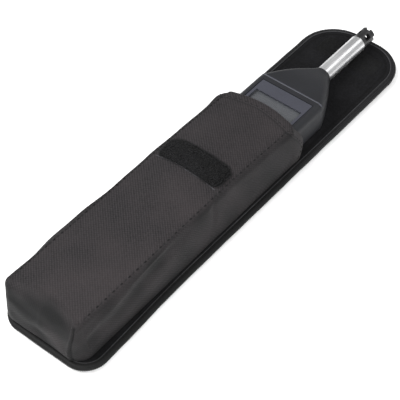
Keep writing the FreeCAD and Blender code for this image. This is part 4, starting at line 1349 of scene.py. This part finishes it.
    def end_seam(self, from_mouth: np.ndarray, up: np.ndarray) -> np.ndarray:
        """Distance in rows from the bowed seam beside the right-hand corner of the end wall."""
        seam = self.side_count + self.corner_count * 0.72 + 2.4 * np.sin(math.pi * up * 1.25)
        on_right = np.arange(len(from_mouth))[:, None] > len(from_mouth) / 2
        return np.where(on_right, from_mouth[:, None] - seam, 99.0)

    def rim(self, rows: int) -> np.ndarray:
        """The rows of the skin next to the mouth, left and right joined over the front.

        Args:
            rows: how many, from the mouth inwards.

        Returns:
            Points (rows, across, 3).
        """
        left = self.skin_points[:rows]
        right = self.skin_points[::-1][:rows]
        return np.concatenate([left, right[:, ::-1][:, 1:]], axis=1)

    def hem_tape(self) -> bpy.types.Object:
        """The turned hem: the skin's rows at the mouth, lifted off it, over the edge and back.

        The outer layer is the skin moved out by half a millimetre, the inner one is the skin moved
        in by its thickness and as much again, and a half turn joins them past the edge.
        """
        step = (self.mouth_y - self.end_base) / self.side_count
        count = int(round(self.hem / step)) + 1
        rows = self.rim(count)
        normal = grid_normals(rows)
        forward = rows[:1] - rows[1:2]
        forward = forward / np.linalg.norm(forward, axis=-1, keepdims=True)
        out = 0.3 * MM * np.clip(np.linspace(1.6, -0.2, count), 0.02, 1)[:, None, None]
        outer = (rows + normal * out)[::-1]
        inner = rows - normal * (self.thick + 0.25 * MM)
        middle = (rows[:1] - normal[:1] * self.thick / 2)
        radius = self.thick / 2 + 0.32 * MM
        turn = np.linspace(0.25, 0.75, 4)[:, None, None] * math.pi
        nose = middle + normal[:1] * radius * np.cos(turn) + forward * radius * np.sin(turn)
        band = np.concatenate([outer, nose, inner], axis=0)
        run = np.linspace(0, 14 * MM, len(band) + 1)[:, None]
        across = np.concatenate([[0], np.cumsum(np.linalg.norm(np.diff(rows[0], axis=0), axis=1))])
        uv = np.stack(np.broadcast_arrays(across[None], run), axis=-1)
        piece = put_mesh("mouth_hem", band, uv, wrap=(True, False))
        finish_shell(piece)
        return piece

    def hem_seam(self) -> bpy.types.Object:
        """Stitches along the hem, a fixed distance behind the mouth's edge."""
        step = (self.mouth_y - self.end_base) / self.side_count
        count = int(round(self.hem * 0.97 / step))
        rows = self.rim(count + 2)
        line = rows[count - 1]
        normal = grid_normals(rows)[count - 1]
        length = np.concatenate([[0], np.cumsum(np.linalg.norm(np.diff(line, axis=0), axis=1))])
        spots = np.arange(2.2 * MM, length[-1] - 2 * MM, 3.4 * MM)
        places = np.stack([np.interp(spots, length, line[:, k]) for k in range(3)], axis=-1)
        ahead = np.stack([np.interp(spots + 0.5 * MM, length, line[:, k]) for k in range(3)],
                         axis=-1) - places
        ahead = ahead / np.linalg.norm(ahead, axis=1, keepdims=True)
        up = np.stack([np.interp(spots, length, normal[:, k]) for k in range(3)], axis=-1)
        up -= ahead * np.sum(up * ahead, axis=1, keepdims=True)
        up = up / np.linalg.norm(up, axis=1, keepdims=True)
        return stitches("mouth_hem_stitches", places + up * 0.12 * MM, ahead, up, 2.3 * MM,
                        0.2 * MM)

    def side_seam(self, side: Side) -> bpy.types.Object:
        """Thread stitches in the trough of a top seam, between its needle holes."""
        front_from = self.wall_count + self.bend_count
        column = front_from - 1
        skin = self.skin_points if side is Side.LEFT else self.skin_points[::-1]
        normal = grid_normals(self.skin_points)
        normal = normal if side is Side.LEFT else normal[::-1]
        line, up = skin[:self.side_count, column], normal[:self.side_count, column]
        step = (self.mouth_y - self.end_base) / self.side_count
        spots = np.arange(1.5, self.side_count * step / self.stitch_pitch - 0.5) \
            * self.stitch_pitch / step
        index = np.arange(self.side_count)
        places = np.stack([np.interp(spots, index, line[:, k]) for k in range(3)], axis=-1)
        out = np.stack([np.interp(spots, index, up[:, k]) for k in range(3)], axis=-1)
        out = out / np.linalg.norm(out, axis=1, keepdims=True)
        heading = np.tile([0.0, 1.0, 0.0], (len(places), 1))
        heading -= out * np.sum(out * heading, axis=1, keepdims=True)
        heading = heading / np.linalg.norm(heading, axis=1, keepdims=True)
        return stitches(f"{side.name.lower()}_seam_stitches", places + out * 0.02 * MM, heading,
                        out, 2.2 * MM, 0.42 * MM)

    def fill_out(self, points: np.ndarray) -> np.ndarray:
        """Settles the skin between its seams: every few points simulated, and the rest between.

        The seams, the mouth and the stretch that the sewn-on patch stiffens are held.

        Args:
            points: the skin's grid.

        Returns:
            The grid with the simulated movement added.
        """
        front_from = self.wall_count + self.bend_count
        rows = np.unique(np.round(np.linspace(0, len(points) - 1, 126)).astype(int))
        columns = np.unique(np.concatenate([
            np.round(np.linspace(0, front_from - 1, 10)),
            np.round(np.linspace(front_from - 1, points.shape[1] - 1, 9))]).astype(int))
        coarse = points[rows][:, columns]
        held = np.zeros(coarse.shape[:2], dtype=bool)
        held[:, 0] = held[:, -1] = True
        from_mouth = np.minimum(rows, len(points) - 1 - rows)
        held[np.ix_(from_mouth < self.side_count + 4, columns == front_from - 1)] = True
        held[[0, 1, -2, -1]] = True
        held |= np.abs(coarse[..., 1] - self.fullest_y) < self.sewn_reach
        move = settle(coarse, held, self.pressure, self.longest_move)
        LOG.info("cloth settled by up to %.2f mm", np.abs(move).max() / MM)
        fine_rows = np.interp(np.arange(len(points)), rows, np.arange(len(rows)))
        fine_columns = np.interp(np.arange(points.shape[1]), columns, np.arange(len(columns)))
        return points + refine(move, fine_rows, fine_columns)

    def build(self) -> list[bpy.types.Object]:
        """Makes the pocket's skin with its inner face, the hem and the seams."""
        points, uv, shade, turned = self.skin()
        points = self.fill_out(points)
        self.skin_points = points
        skin = put_mesh("pocket_walls_and_front", points, uv, shade, weld=True, turned=turned)
        work = bmesh.new()
        work.from_mesh(skin.data)
        bmesh.ops.recalc_face_normals(work, faces=work.faces)
        work.to_mesh(skin.data)
        work.free()
        middle = skin.data.polygons[len(skin.data.polygons) // 2]
        if middle.normal.dot(middle.center - Vector((0, middle.center.y, 0.015))) < 0:
            skin.data.flip_normals()
        self.wardrobe.dress(skin, WovenNylon(), BrushedTricot())
        wall = skin.modifiers.new("cloth_and_lining", "SOLIDIFY")
        wall.thickness, wall.offset = self.thick, -1.0
        wall.use_even_offset, wall.material_offset = True, 1
        hem = self.wardrobe.dress(self.hem_tape(), WovenNylon())
        thread = [self.hem_seam(), self.side_seam(Side.LEFT), self.side_seam(Side.RIGHT)]
        for piece in thread:
            self.wardrobe.dress(piece, THREAD)
        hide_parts("pocket_front", "pocket_end", "gusset_left", "gusset_right")
        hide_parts("mouth_binding")
        pieces = [skin, hem, *thread]
        for piece in pieces:
            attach(piece, Body.POUCH.value)
        return pieces

    def height_at(self, x: np.ndarray, y: np.ndarray) -> np.ndarray:
        """Height of the front's outer face: the crown's parabola across its width."""
        over = np.clip(1 - (x / self.half_top) ** 2, 0, 1)
        return self.crown_z - self.edge_step + self.rise(y) * over

    def rise(self, y: np.ndarray) -> np.ndarray:
        """The crown's rise along the pocket: greatest, by a bell curve, over the meter's end."""
        bell = np.exp(-((y - self.fullest_y) / self.crown_reach) ** 2)
        return self.crown_rise + self.crown_swell * bell


@dataclass
class TouchFastener:
    """The two halves of the touch fastener: looped pile on the front, hooks on the flap."""

    wardrobe: Wardrobe
    pocket: Pocket
    patch: tuple[Vector, Vector]
    hooks: tuple[Vector, Vector]
    tuft_count: int = 2600
    pile: float = 1.25 * MM
    edge_share: float = 0.36
    blunt: float = 1.6 * MM
    fringe: float = 0.28 * MM

    def strip(self, box: tuple[Vector, Vector], u: np.ndarray,
              v: np.ndarray) -> tuple[np.ndarray, np.ndarray]:
        """Places in a strip with blunt ends, which high powers of the place draw in.

        Args:
            box: corners that it fills.
            u: places along X, from -1 to 1.
            v: places along Y, from -1 to 1.

        Returns:
            The x and the y of each place.
        """
        centre, reach = (box[0] + box[1]) / 2, (box[1] - box[0]) / 2
        x = centre.x + u * (reach.x - self.blunt * v ** 6)
        y = centre.y + v * (reach.y - self.blunt * u ** 16)
        return x, y

    def pad(self, name: str, box: tuple[Vector, Vector], base: np.ndarray | float, thick: float,
            rough: float, seed: int) -> bpy.types.Object:
        """A closed pad with soft edges and a nubbly top.

        Height is thick times one minus the fourteenth power of the place across and along, so that
        it falls at the edges, plus random relief.

        Args:
            name: the object's name.
            box: corners that it fills.
            base: height it lies on, or None to lie on the pocket's front.
            thick: its height.
            rough: depth of the relief.
            seed: starts the random draw.

        Returns:
            The new object.
        """
        u = np.linspace(-1, 1, 90)
        v = np.linspace(-1, 1, 44)
        uu, vv = np.meshgrid(u, v, indexing="ij")
        wave = self.fringe * ripple(vv * 8 + uu * 20, uu, 5, seed)
        x, y = self.strip(box, uu, vv)
        x, y = x + wave * (np.abs(uu) > 0.9), y + wave * (np.abs(vv) > 0.9)
        floor = self.pocket.height_at(x, y) if base is None else base + 0 * x
        shape = np.clip(1 - uu ** 14, 0, 1) * np.clip(1 - vv ** 14, 0, 1)
        bumps = rough * ripple(x, y, 1.9 * MM, seed + 1, 12)
        top = floor + (thick + np.minimum(bumps, 0)) * shape
        under = floor - 0.25 * MM
        upper = np.stack([x, y, top], axis=-1)
        lower = np.stack([x, y, under], axis=-1)[:, ::-1]
        points = np.concatenate([upper, lower], axis=1)
        uv = np.concatenate([points[..., :2], points[:, :1, :2]], axis=1)
        piece = put_mesh(name, points, uv, wrap=(False, True))
        finish_shell(piece)
        return piece

    def tufts(self) -> bpy.types.Object:
        """Short loops of pile that stand on the patch.

        Each is a bent three-sided strand of four rings, placed, turned and sized by a seeded draw.
        """
        draw = np.random.default_rng(21)
        count = self.tuft_count
        edge = draw.uniform(0, 1, count) < self.edge_share
        u, v = draw.uniform(-1, 1, (2, count))
        side = draw.uniform(0, 1, count) < 0.5
        u = np.where(edge & side, np.sign(u) * 0.995, u)
        v = np.where(edge & ~side, np.sign(v) * 0.99, v)
        x, y = self.strip(self.patch, u, v)
        z = self.pocket.height_at(x, y) + np.where(edge, 0.3, 0.75) * MM
        foot = np.stack([x, y, z], axis=-1)
        turn = draw.uniform(0, 2 * math.pi, count)
        lean = np.stack([np.cos(turn), np.sin(turn), 0 * turn], axis=-1)
        lean = np.where(edge[:, None], np.stack([u * (side), v * (~side), 0 * u], axis=-1)
                        + 0.5 * lean, lean)
        tall = self.pile * draw.uniform(0.35, 0.8, count)
        rings = np.array([0.0, 0.45, 0.85, 1.0])
        bend, climb = rings ** 2 * 0.9, rings * (1.25 - 0.5 * rings)
        path = foot[:, None] + lean[:, None] * bend[None, :, None] * tall[:, None, None]
        path[..., 2] += climb[None] * (tall * np.where(edge, 0.5, 0.85))[:, None]
        spin = np.linspace(0, 2 * math.pi, 3, endpoint=False)
        circle = np.stack([np.cos(spin), np.sin(spin), 0 * spin], axis=-1)
        size = (0.15 * MM * np.array([1.0, 1.0, 0.8, 0.25]))[None, :, None, None]
        points = path[:, :, None] + circle[None, None] * size
        ring, k = np.meshgrid(np.arange(3), np.arange(3), indexing="ij")
        quads = np.stack([ring * 3 + k, ring * 3 + (k + 1) % 3, (ring + 1) * 3 + (k + 1) % 3,
                          (ring + 1) * 3 + k], axis=-1).reshape(-1, 4)
        offsets = (np.arange(count) * 12)[:, None, None]
        faces = (quads[None] + offsets).reshape(-1, 4).tolist()
        faces += (np.array([[2, 1, 0], [9, 10, 11]])[None] + offsets).reshape(-1, 3).tolist()
        mesh = bpy.data.meshes.new("patch_pile")
        mesh.from_pydata(points.reshape(-1, 3), [], faces)
        return put_object("patch_pile", mesh)

    def selvedge(self) -> bpy.types.Object:
        """The patch's smooth woven edge nearest the end wall, a thin cord on the front."""
        x = np.linspace(self.patch[0].x, self.patch[1].x, 70)
        y = self.patch[0].y - 0.2 * MM + 0.15 * MM * ripple(x, 0 * x, 13 * MM, 4)
        z = self.pocket.height_at(x, y) + 0.12 * MM
        return tube_round("patch_selvedge", np.stack([x, y, z], axis=-1), 0.25 * MM)

    def build(self) -> list[bpy.types.Object]:
        """Makes the loop patch, its pile and selvedge, and the hook strip."""
        patch = self.pad("loop_patch_pad", self.patch, None, 0.95 * MM, 0.35 * MM, 31)
        tufts, selvedge = self.tufts(), self.selvedge()
        base = self.hooks[0].z
        hooks = self.pad("hook_strip_pad", self.hooks, base, self.hooks[1].z - base + 0.1 * MM,
                         0.2 * MM, 41)
        for piece in (patch, hooks):
            self.wardrobe.dress(piece, PILE)
        self.wardrobe.dress(tufts, LOOPS)
        self.wardrobe.dress(selvedge, SELVEDGE)
        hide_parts("loop_patch")
        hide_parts("hook_strip")
        for piece in (patch, tufts, selvedge):
            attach(piece, Body.POUCH.value)
        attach(hooks, Body.FLAP.value)
        return [patch, tufts, selvedge, hooks]


@dataclass
class BeltLoop:
    """Webbing strap under the panel, sewn down at both ends."""

    wardrobe: Wardrobe
    box: tuple[Vector, Vector]
    tab: float = 8.0 * MM
    webbing: float = 1.6 * MM
    end_taper: float = 0.99

    def strap(self) -> bpy.types.Object:
        """The webbing: a flat section with round edges, carried along Y, lifted at its tabs.

        The section is a superellipse, and the strap's upper face rises to the panel over each tab.
        """
        low, high = self.box
        y = np.linspace(low.y, high.y, 150)
        turn = np.linspace(0, 2 * math.pi, 40, endpoint=False)
        c, s = np.cos(turn), np.sin(turn)
        across = np.sign(c) * np.abs(c) ** 0.35 * (high.x - low.x) / 2
        up = np.sign(s) * np.abs(s) ** 0.5
        tab = np.maximum(1 / (1 + np.exp((y - low.y - self.tab) / (0.4 * MM))),
                         1 / (1 + np.exp((high.y - self.tab - y) / (0.4 * MM))))
        top = self.webbing + tab * (high.z - self.webbing)
        rib = 0.04 * MM * np.sin(2 * math.pi * y / (1.6 * MM))
        z = top[:, None] / 2 * (1 + up[None]) - rib[:, None] * (up[None] > 0.5)
        points = np.stack(np.broadcast_arrays(across[None], y[:, None], z), axis=-1)
        points[[0, -1], :, 0] *= self.end_taper
        uv = np.stack(np.broadcast_arrays(y[:, None], np.linspace(0, 84 * MM, 41)[None]), axis=-1)
        piece = put_mesh("belt_loop_webbing", points, uv, wrap=(False, True))
        finish_shell(piece)
        return piece

    def tacks(self) -> bpy.types.Object:
        """Boxed rows of stitches that hold the tabs."""
        low, high = self.box
        rows = []
        for y in (low.y + 1.6 * MM, low.y + self.tab - 1.6 * MM, high.y - 1.6 * MM,
                  high.y - self.tab + 1.6 * MM):
            x = np.arange(low.x + 2 * MM, high.x - 1.9 * MM, 2.2 * MM)
            rows.append(np.stack([x, 0 * x + y, 0 * x + 0.17 * MM], axis=-1))
        places = np.concatenate(rows)
        heading = np.tile([1.0, 0.0, 0.0], (len(places), 1))
        down = np.tile([0.0, 0.0, -1.0], (len(places), 1))
        return stitches("belt_loop_stitches", places, heading, down, 1.7 * MM, 0.16 * MM)

    def build(self) -> list[bpy.types.Object]:
        """Makes the strap and its stitches."""
        strap = self.wardrobe.dress(self.strap(), RibbedTape("nylon_webbing_black", "#0e0e0f",
                                                             "#303033", 1.6 * MM))
        tacks = self.wardrobe.dress(self.tacks(), THREAD)
        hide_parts("belt_loop")
        for piece in (strap, tacks):
            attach(piece, Body.POUCH.value)
        return [strap, tacks]


# Meter ------------------------------------------------------------------------------------------
@dataclass
class Meter:
    """The meter: its frame nodes keep their shapes and get their finishes."""

    wardrobe: Wardrobe
    nodes: dict[str, bpy.types.Object]
    finishes: dict = field(default_factory=lambda: {
        "front_housing": CASE_PLASTIC, "rear_housing": CASE_PLASTIC,
        "battery_cover": CASE_PLASTIC, "display_bezel": BEZEL_PLASTIC,
        "display_window": WINDOW_CLEAR, "display_glass": DISPLAY_GLASS,
        "display_holder": INNER_PLASTIC, "key_mat": KEY_RUBBER, "key_hold": KEY_RUBBER,
        "key_units": KEY_RUBBER, "key_max_min": KEY_RUBBER, "key_power": KEY_RUBBER,
        "circuit_board": BOARD_MASK, "sensor_board": BOARD_MASK, "microcontroller": CHIP_EPOXY,
        "buzzer": INNER_PLASTIC, "board_parts": CHIP_EPOXY, "board_screws": SCREW_STEEL,
        "case_screws": SCREW_STEEL, "battery_cover_screw": SCREW_STEEL,
        "battery_cells": CELL_SLEEVE, "battery_contacts": SPRING_STEEL, "probe_tube": TUBE_METAL,
        "retaining_ring": SPRING_STEEL, "sensor_sleeve": GUARD_PLASTIC,
        "sensor_guard": GUARD_PLASTIC, "humidity_sensor": SENSOR_CERAMIC,
        "temperature_bead": SENSOR_CERAMIC, "sensor_leads": LEAD_PVC})
    ridge_radius: float = 0.65 * MM
    ridge_short: float = 1.1 * MM
    ridge_above: float = 4.0 * MM
    case_round: float = 4.2 * MM

    def ridge(self) -> bpy.types.Object:
        """The moulded ridge where the flat face ends, a rounded bar across the case.

        It follows the case's rounded edges down: the radius less the root of its square less the
        square of the distance past the flat.
        """
        low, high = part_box("front_housing")
        _, frame_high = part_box("display_bezel")
        middle, half = (low.x + high.x) / 2, (high.x - low.x) / 2
        reach = half - self.ridge_short
        x = np.linspace(middle - reach, middle + reach, 80)
        past = np.maximum(np.abs(x - middle) - (half - self.case_round), 0)
        drop = self.case_round - np.sqrt(self.case_round ** 2 - past ** 2)
        y = frame_high.y + self.ridge_above + 0 * x
        z = high.z - drop - 0.75 * self.ridge_radius
        return tube_round("face_ridge", np.stack([x, y, z], axis=-1), self.ridge_radius)

    def build(self) -> list[bpy.types.Object]:
        """Dresses every frame node of the meter and adds the ridge of its face."""
        for name, finish in self.finishes.items():
            self.wardrobe.dress_node(self.nodes[name], finish)
        # The ridge is part of the case but wears the paler bezel plastic: partly a painted
        # highlight
        ridge = self.wardrobe.dress(self.ridge(), BEZEL_PLASTIC)
        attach(ridge, Body.METER.value)
        return [ridge]


# Room, lights and camera ------------------------------------------------------------------------
@dataclass
class Studio:
    """Plain pale floor, soft lights and the camera."""

    azimuth: float = math.radians(38.52)
    elevation: float = math.radians(48.29)
    roll: float = math.radians(0.48)
    distance: float = 0.75506
    shift: tuple[float, float] = (-0.03329, -0.03227)
    aim: Vector = field(default_factory=lambda: Vector((0.0, 0.036, 0.002)))
    lens: float = 121.35
    sensor: float = 36.0
    sky_strength: float = 0.42
    lamps: tuple = (("key", (0.6, -0.4, 0.75), 0.8, 12.0),
                    ("fill", (-0.5, -0.4, 0.8), 0.8, 14.0),
                    ("back", (0.35, 0.9, 0.95), 0.4, 1.4))

    def floor(self) -> None:
        """A wide pale sheet just under the object."""
        reach = np.linspace(-1.5, 1.5, 3)
        x, y = np.meshgrid(reach, reach, indexing="ij")
        floor = put_mesh("floor", np.stack([x, y, 0 * x - 0.05 * MM], axis=-1))
        if floor.data.polygons[0].normal.z < 0:
            floor.data.flip_normals()
        material, _, bsdf = new_material("studio_paper_white", Roughness=0.9)
        bsdf.inputs["Base Color"].default_value = linear("#f7f7f7")
        floor.data.materials.append(material)

    def lamp(self, name: str, place: Vector, size: float, power: float) -> None:
        """A square soft light that faces the object."""
        light = bpy.data.lights.new(name, "AREA")
        light.size, light.energy = size, power
        lamp = bpy.data.objects.new(name, light)
        lamp.rotation_euler = (place - Vector((0, 0.02, 0.01))).to_track_quat("Z", "Y").to_euler()
        lamp.location = place
        bpy.context.scene.collection.objects.link(lamp)

    def camera(self) -> None:
        """Places the camera from its azimuth, elevation, roll and distance."""
        sin_a, cos_a = math.sin(self.azimuth), math.cos(self.azimuth)
        sin_e, cos_e = math.sin(self.elevation), math.cos(self.elevation)
        back = Vector((sin_a * cos_e, -cos_a * cos_e, sin_e))
        right = Vector((cos_a, sin_a, 0))
        up = back.cross(right)
        level_right = math.cos(self.roll) * right + math.sin(self.roll) * up
        level_up = -math.sin(self.roll) * right + math.cos(self.roll) * up
        place = self.aim + level_right * self.shift[0] + level_up * self.shift[1] \
            + back * self.distance
        lens = bpy.data.cameras.new("view")
        lens.lens, lens.sensor_width, lens.clip_end = self.lens, self.sensor, 20.0
        camera = bpy.data.objects.new("view", lens)
        axes = Matrix((level_right, level_up, back)).transposed().to_4x4()
        camera.matrix_world = Matrix.Translation(place) @ axes
        bpy.context.scene.collection.objects.link(camera)
        bpy.context.scene.camera = camera

    def build(self) -> None:
        """Sets the floor, the lights, the sky and the camera."""
        self.floor()
        for name, place, size, power in self.lamps:
            self.lamp(name, Vector(place), size, power)
        world = bpy.data.worlds.new("sky")
        world.use_nodes = True
        sky = world.node_tree.nodes["Background"]
        sky.inputs["Color"].default_value = linear("#ffffff")
        sky.inputs["Strength"].default_value = self.sky_strength
        bpy.context.scene.world = world
        bpy.context.scene.view_settings.view_transform = "Standard"
        self.camera()


def main() -> None:
    """Builds every sub-assembly in order and logs its pieces."""
    logging.basicConfig(level=logging.INFO, format="%(name)s: %(message)s")
    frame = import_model()
    wardrobe = Wardrobe()
    panel_low, panel_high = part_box("back_panel_binding")
    _, flap_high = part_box("flap_binding")
    cloth_low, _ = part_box("back_panel_cloth")
    _, lining_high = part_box("back_panel_lining")
    crease = (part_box("back_panel_cloth")[1].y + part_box("flap_cloth")[0].y) / 2
    panel = PaddedPanel(wardrobe, panel_high.x, (panel_low.y, flap_high.y),
                        (cloth_low.z, lining_high.z), crease)
    front_low, front_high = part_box("pocket_front")
    wall_low, wall_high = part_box("gusset_right")
    end_low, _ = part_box("pocket_end")
    # The padded end wall stands a little further out than the frame's thin one
    end_base, end_top = end_low.y - 1.0 * MM, front_low.y - 3.4 * MM
    pocket = Pocket(wardrobe, wall_low.z, wall_high.z, front_high.z, front_high.y, wall_high.x,
                    front_high.x, end_base, end_top)
    fastener = TouchFastener(wardrobe, pocket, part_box("loop_patch"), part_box("hook_strip"))
    loop = BeltLoop(wardrobe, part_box("belt_loop"))
    meter = Meter(wardrobe, frame["nodes"])
    for part in (panel, pocket, fastener, loop, meter):
        for piece in part.build():
            LOG.info("%s: %d faces", piece.name, len(piece.data.polygons))
    Studio().build()


if __name__ == "__main__":
    main()
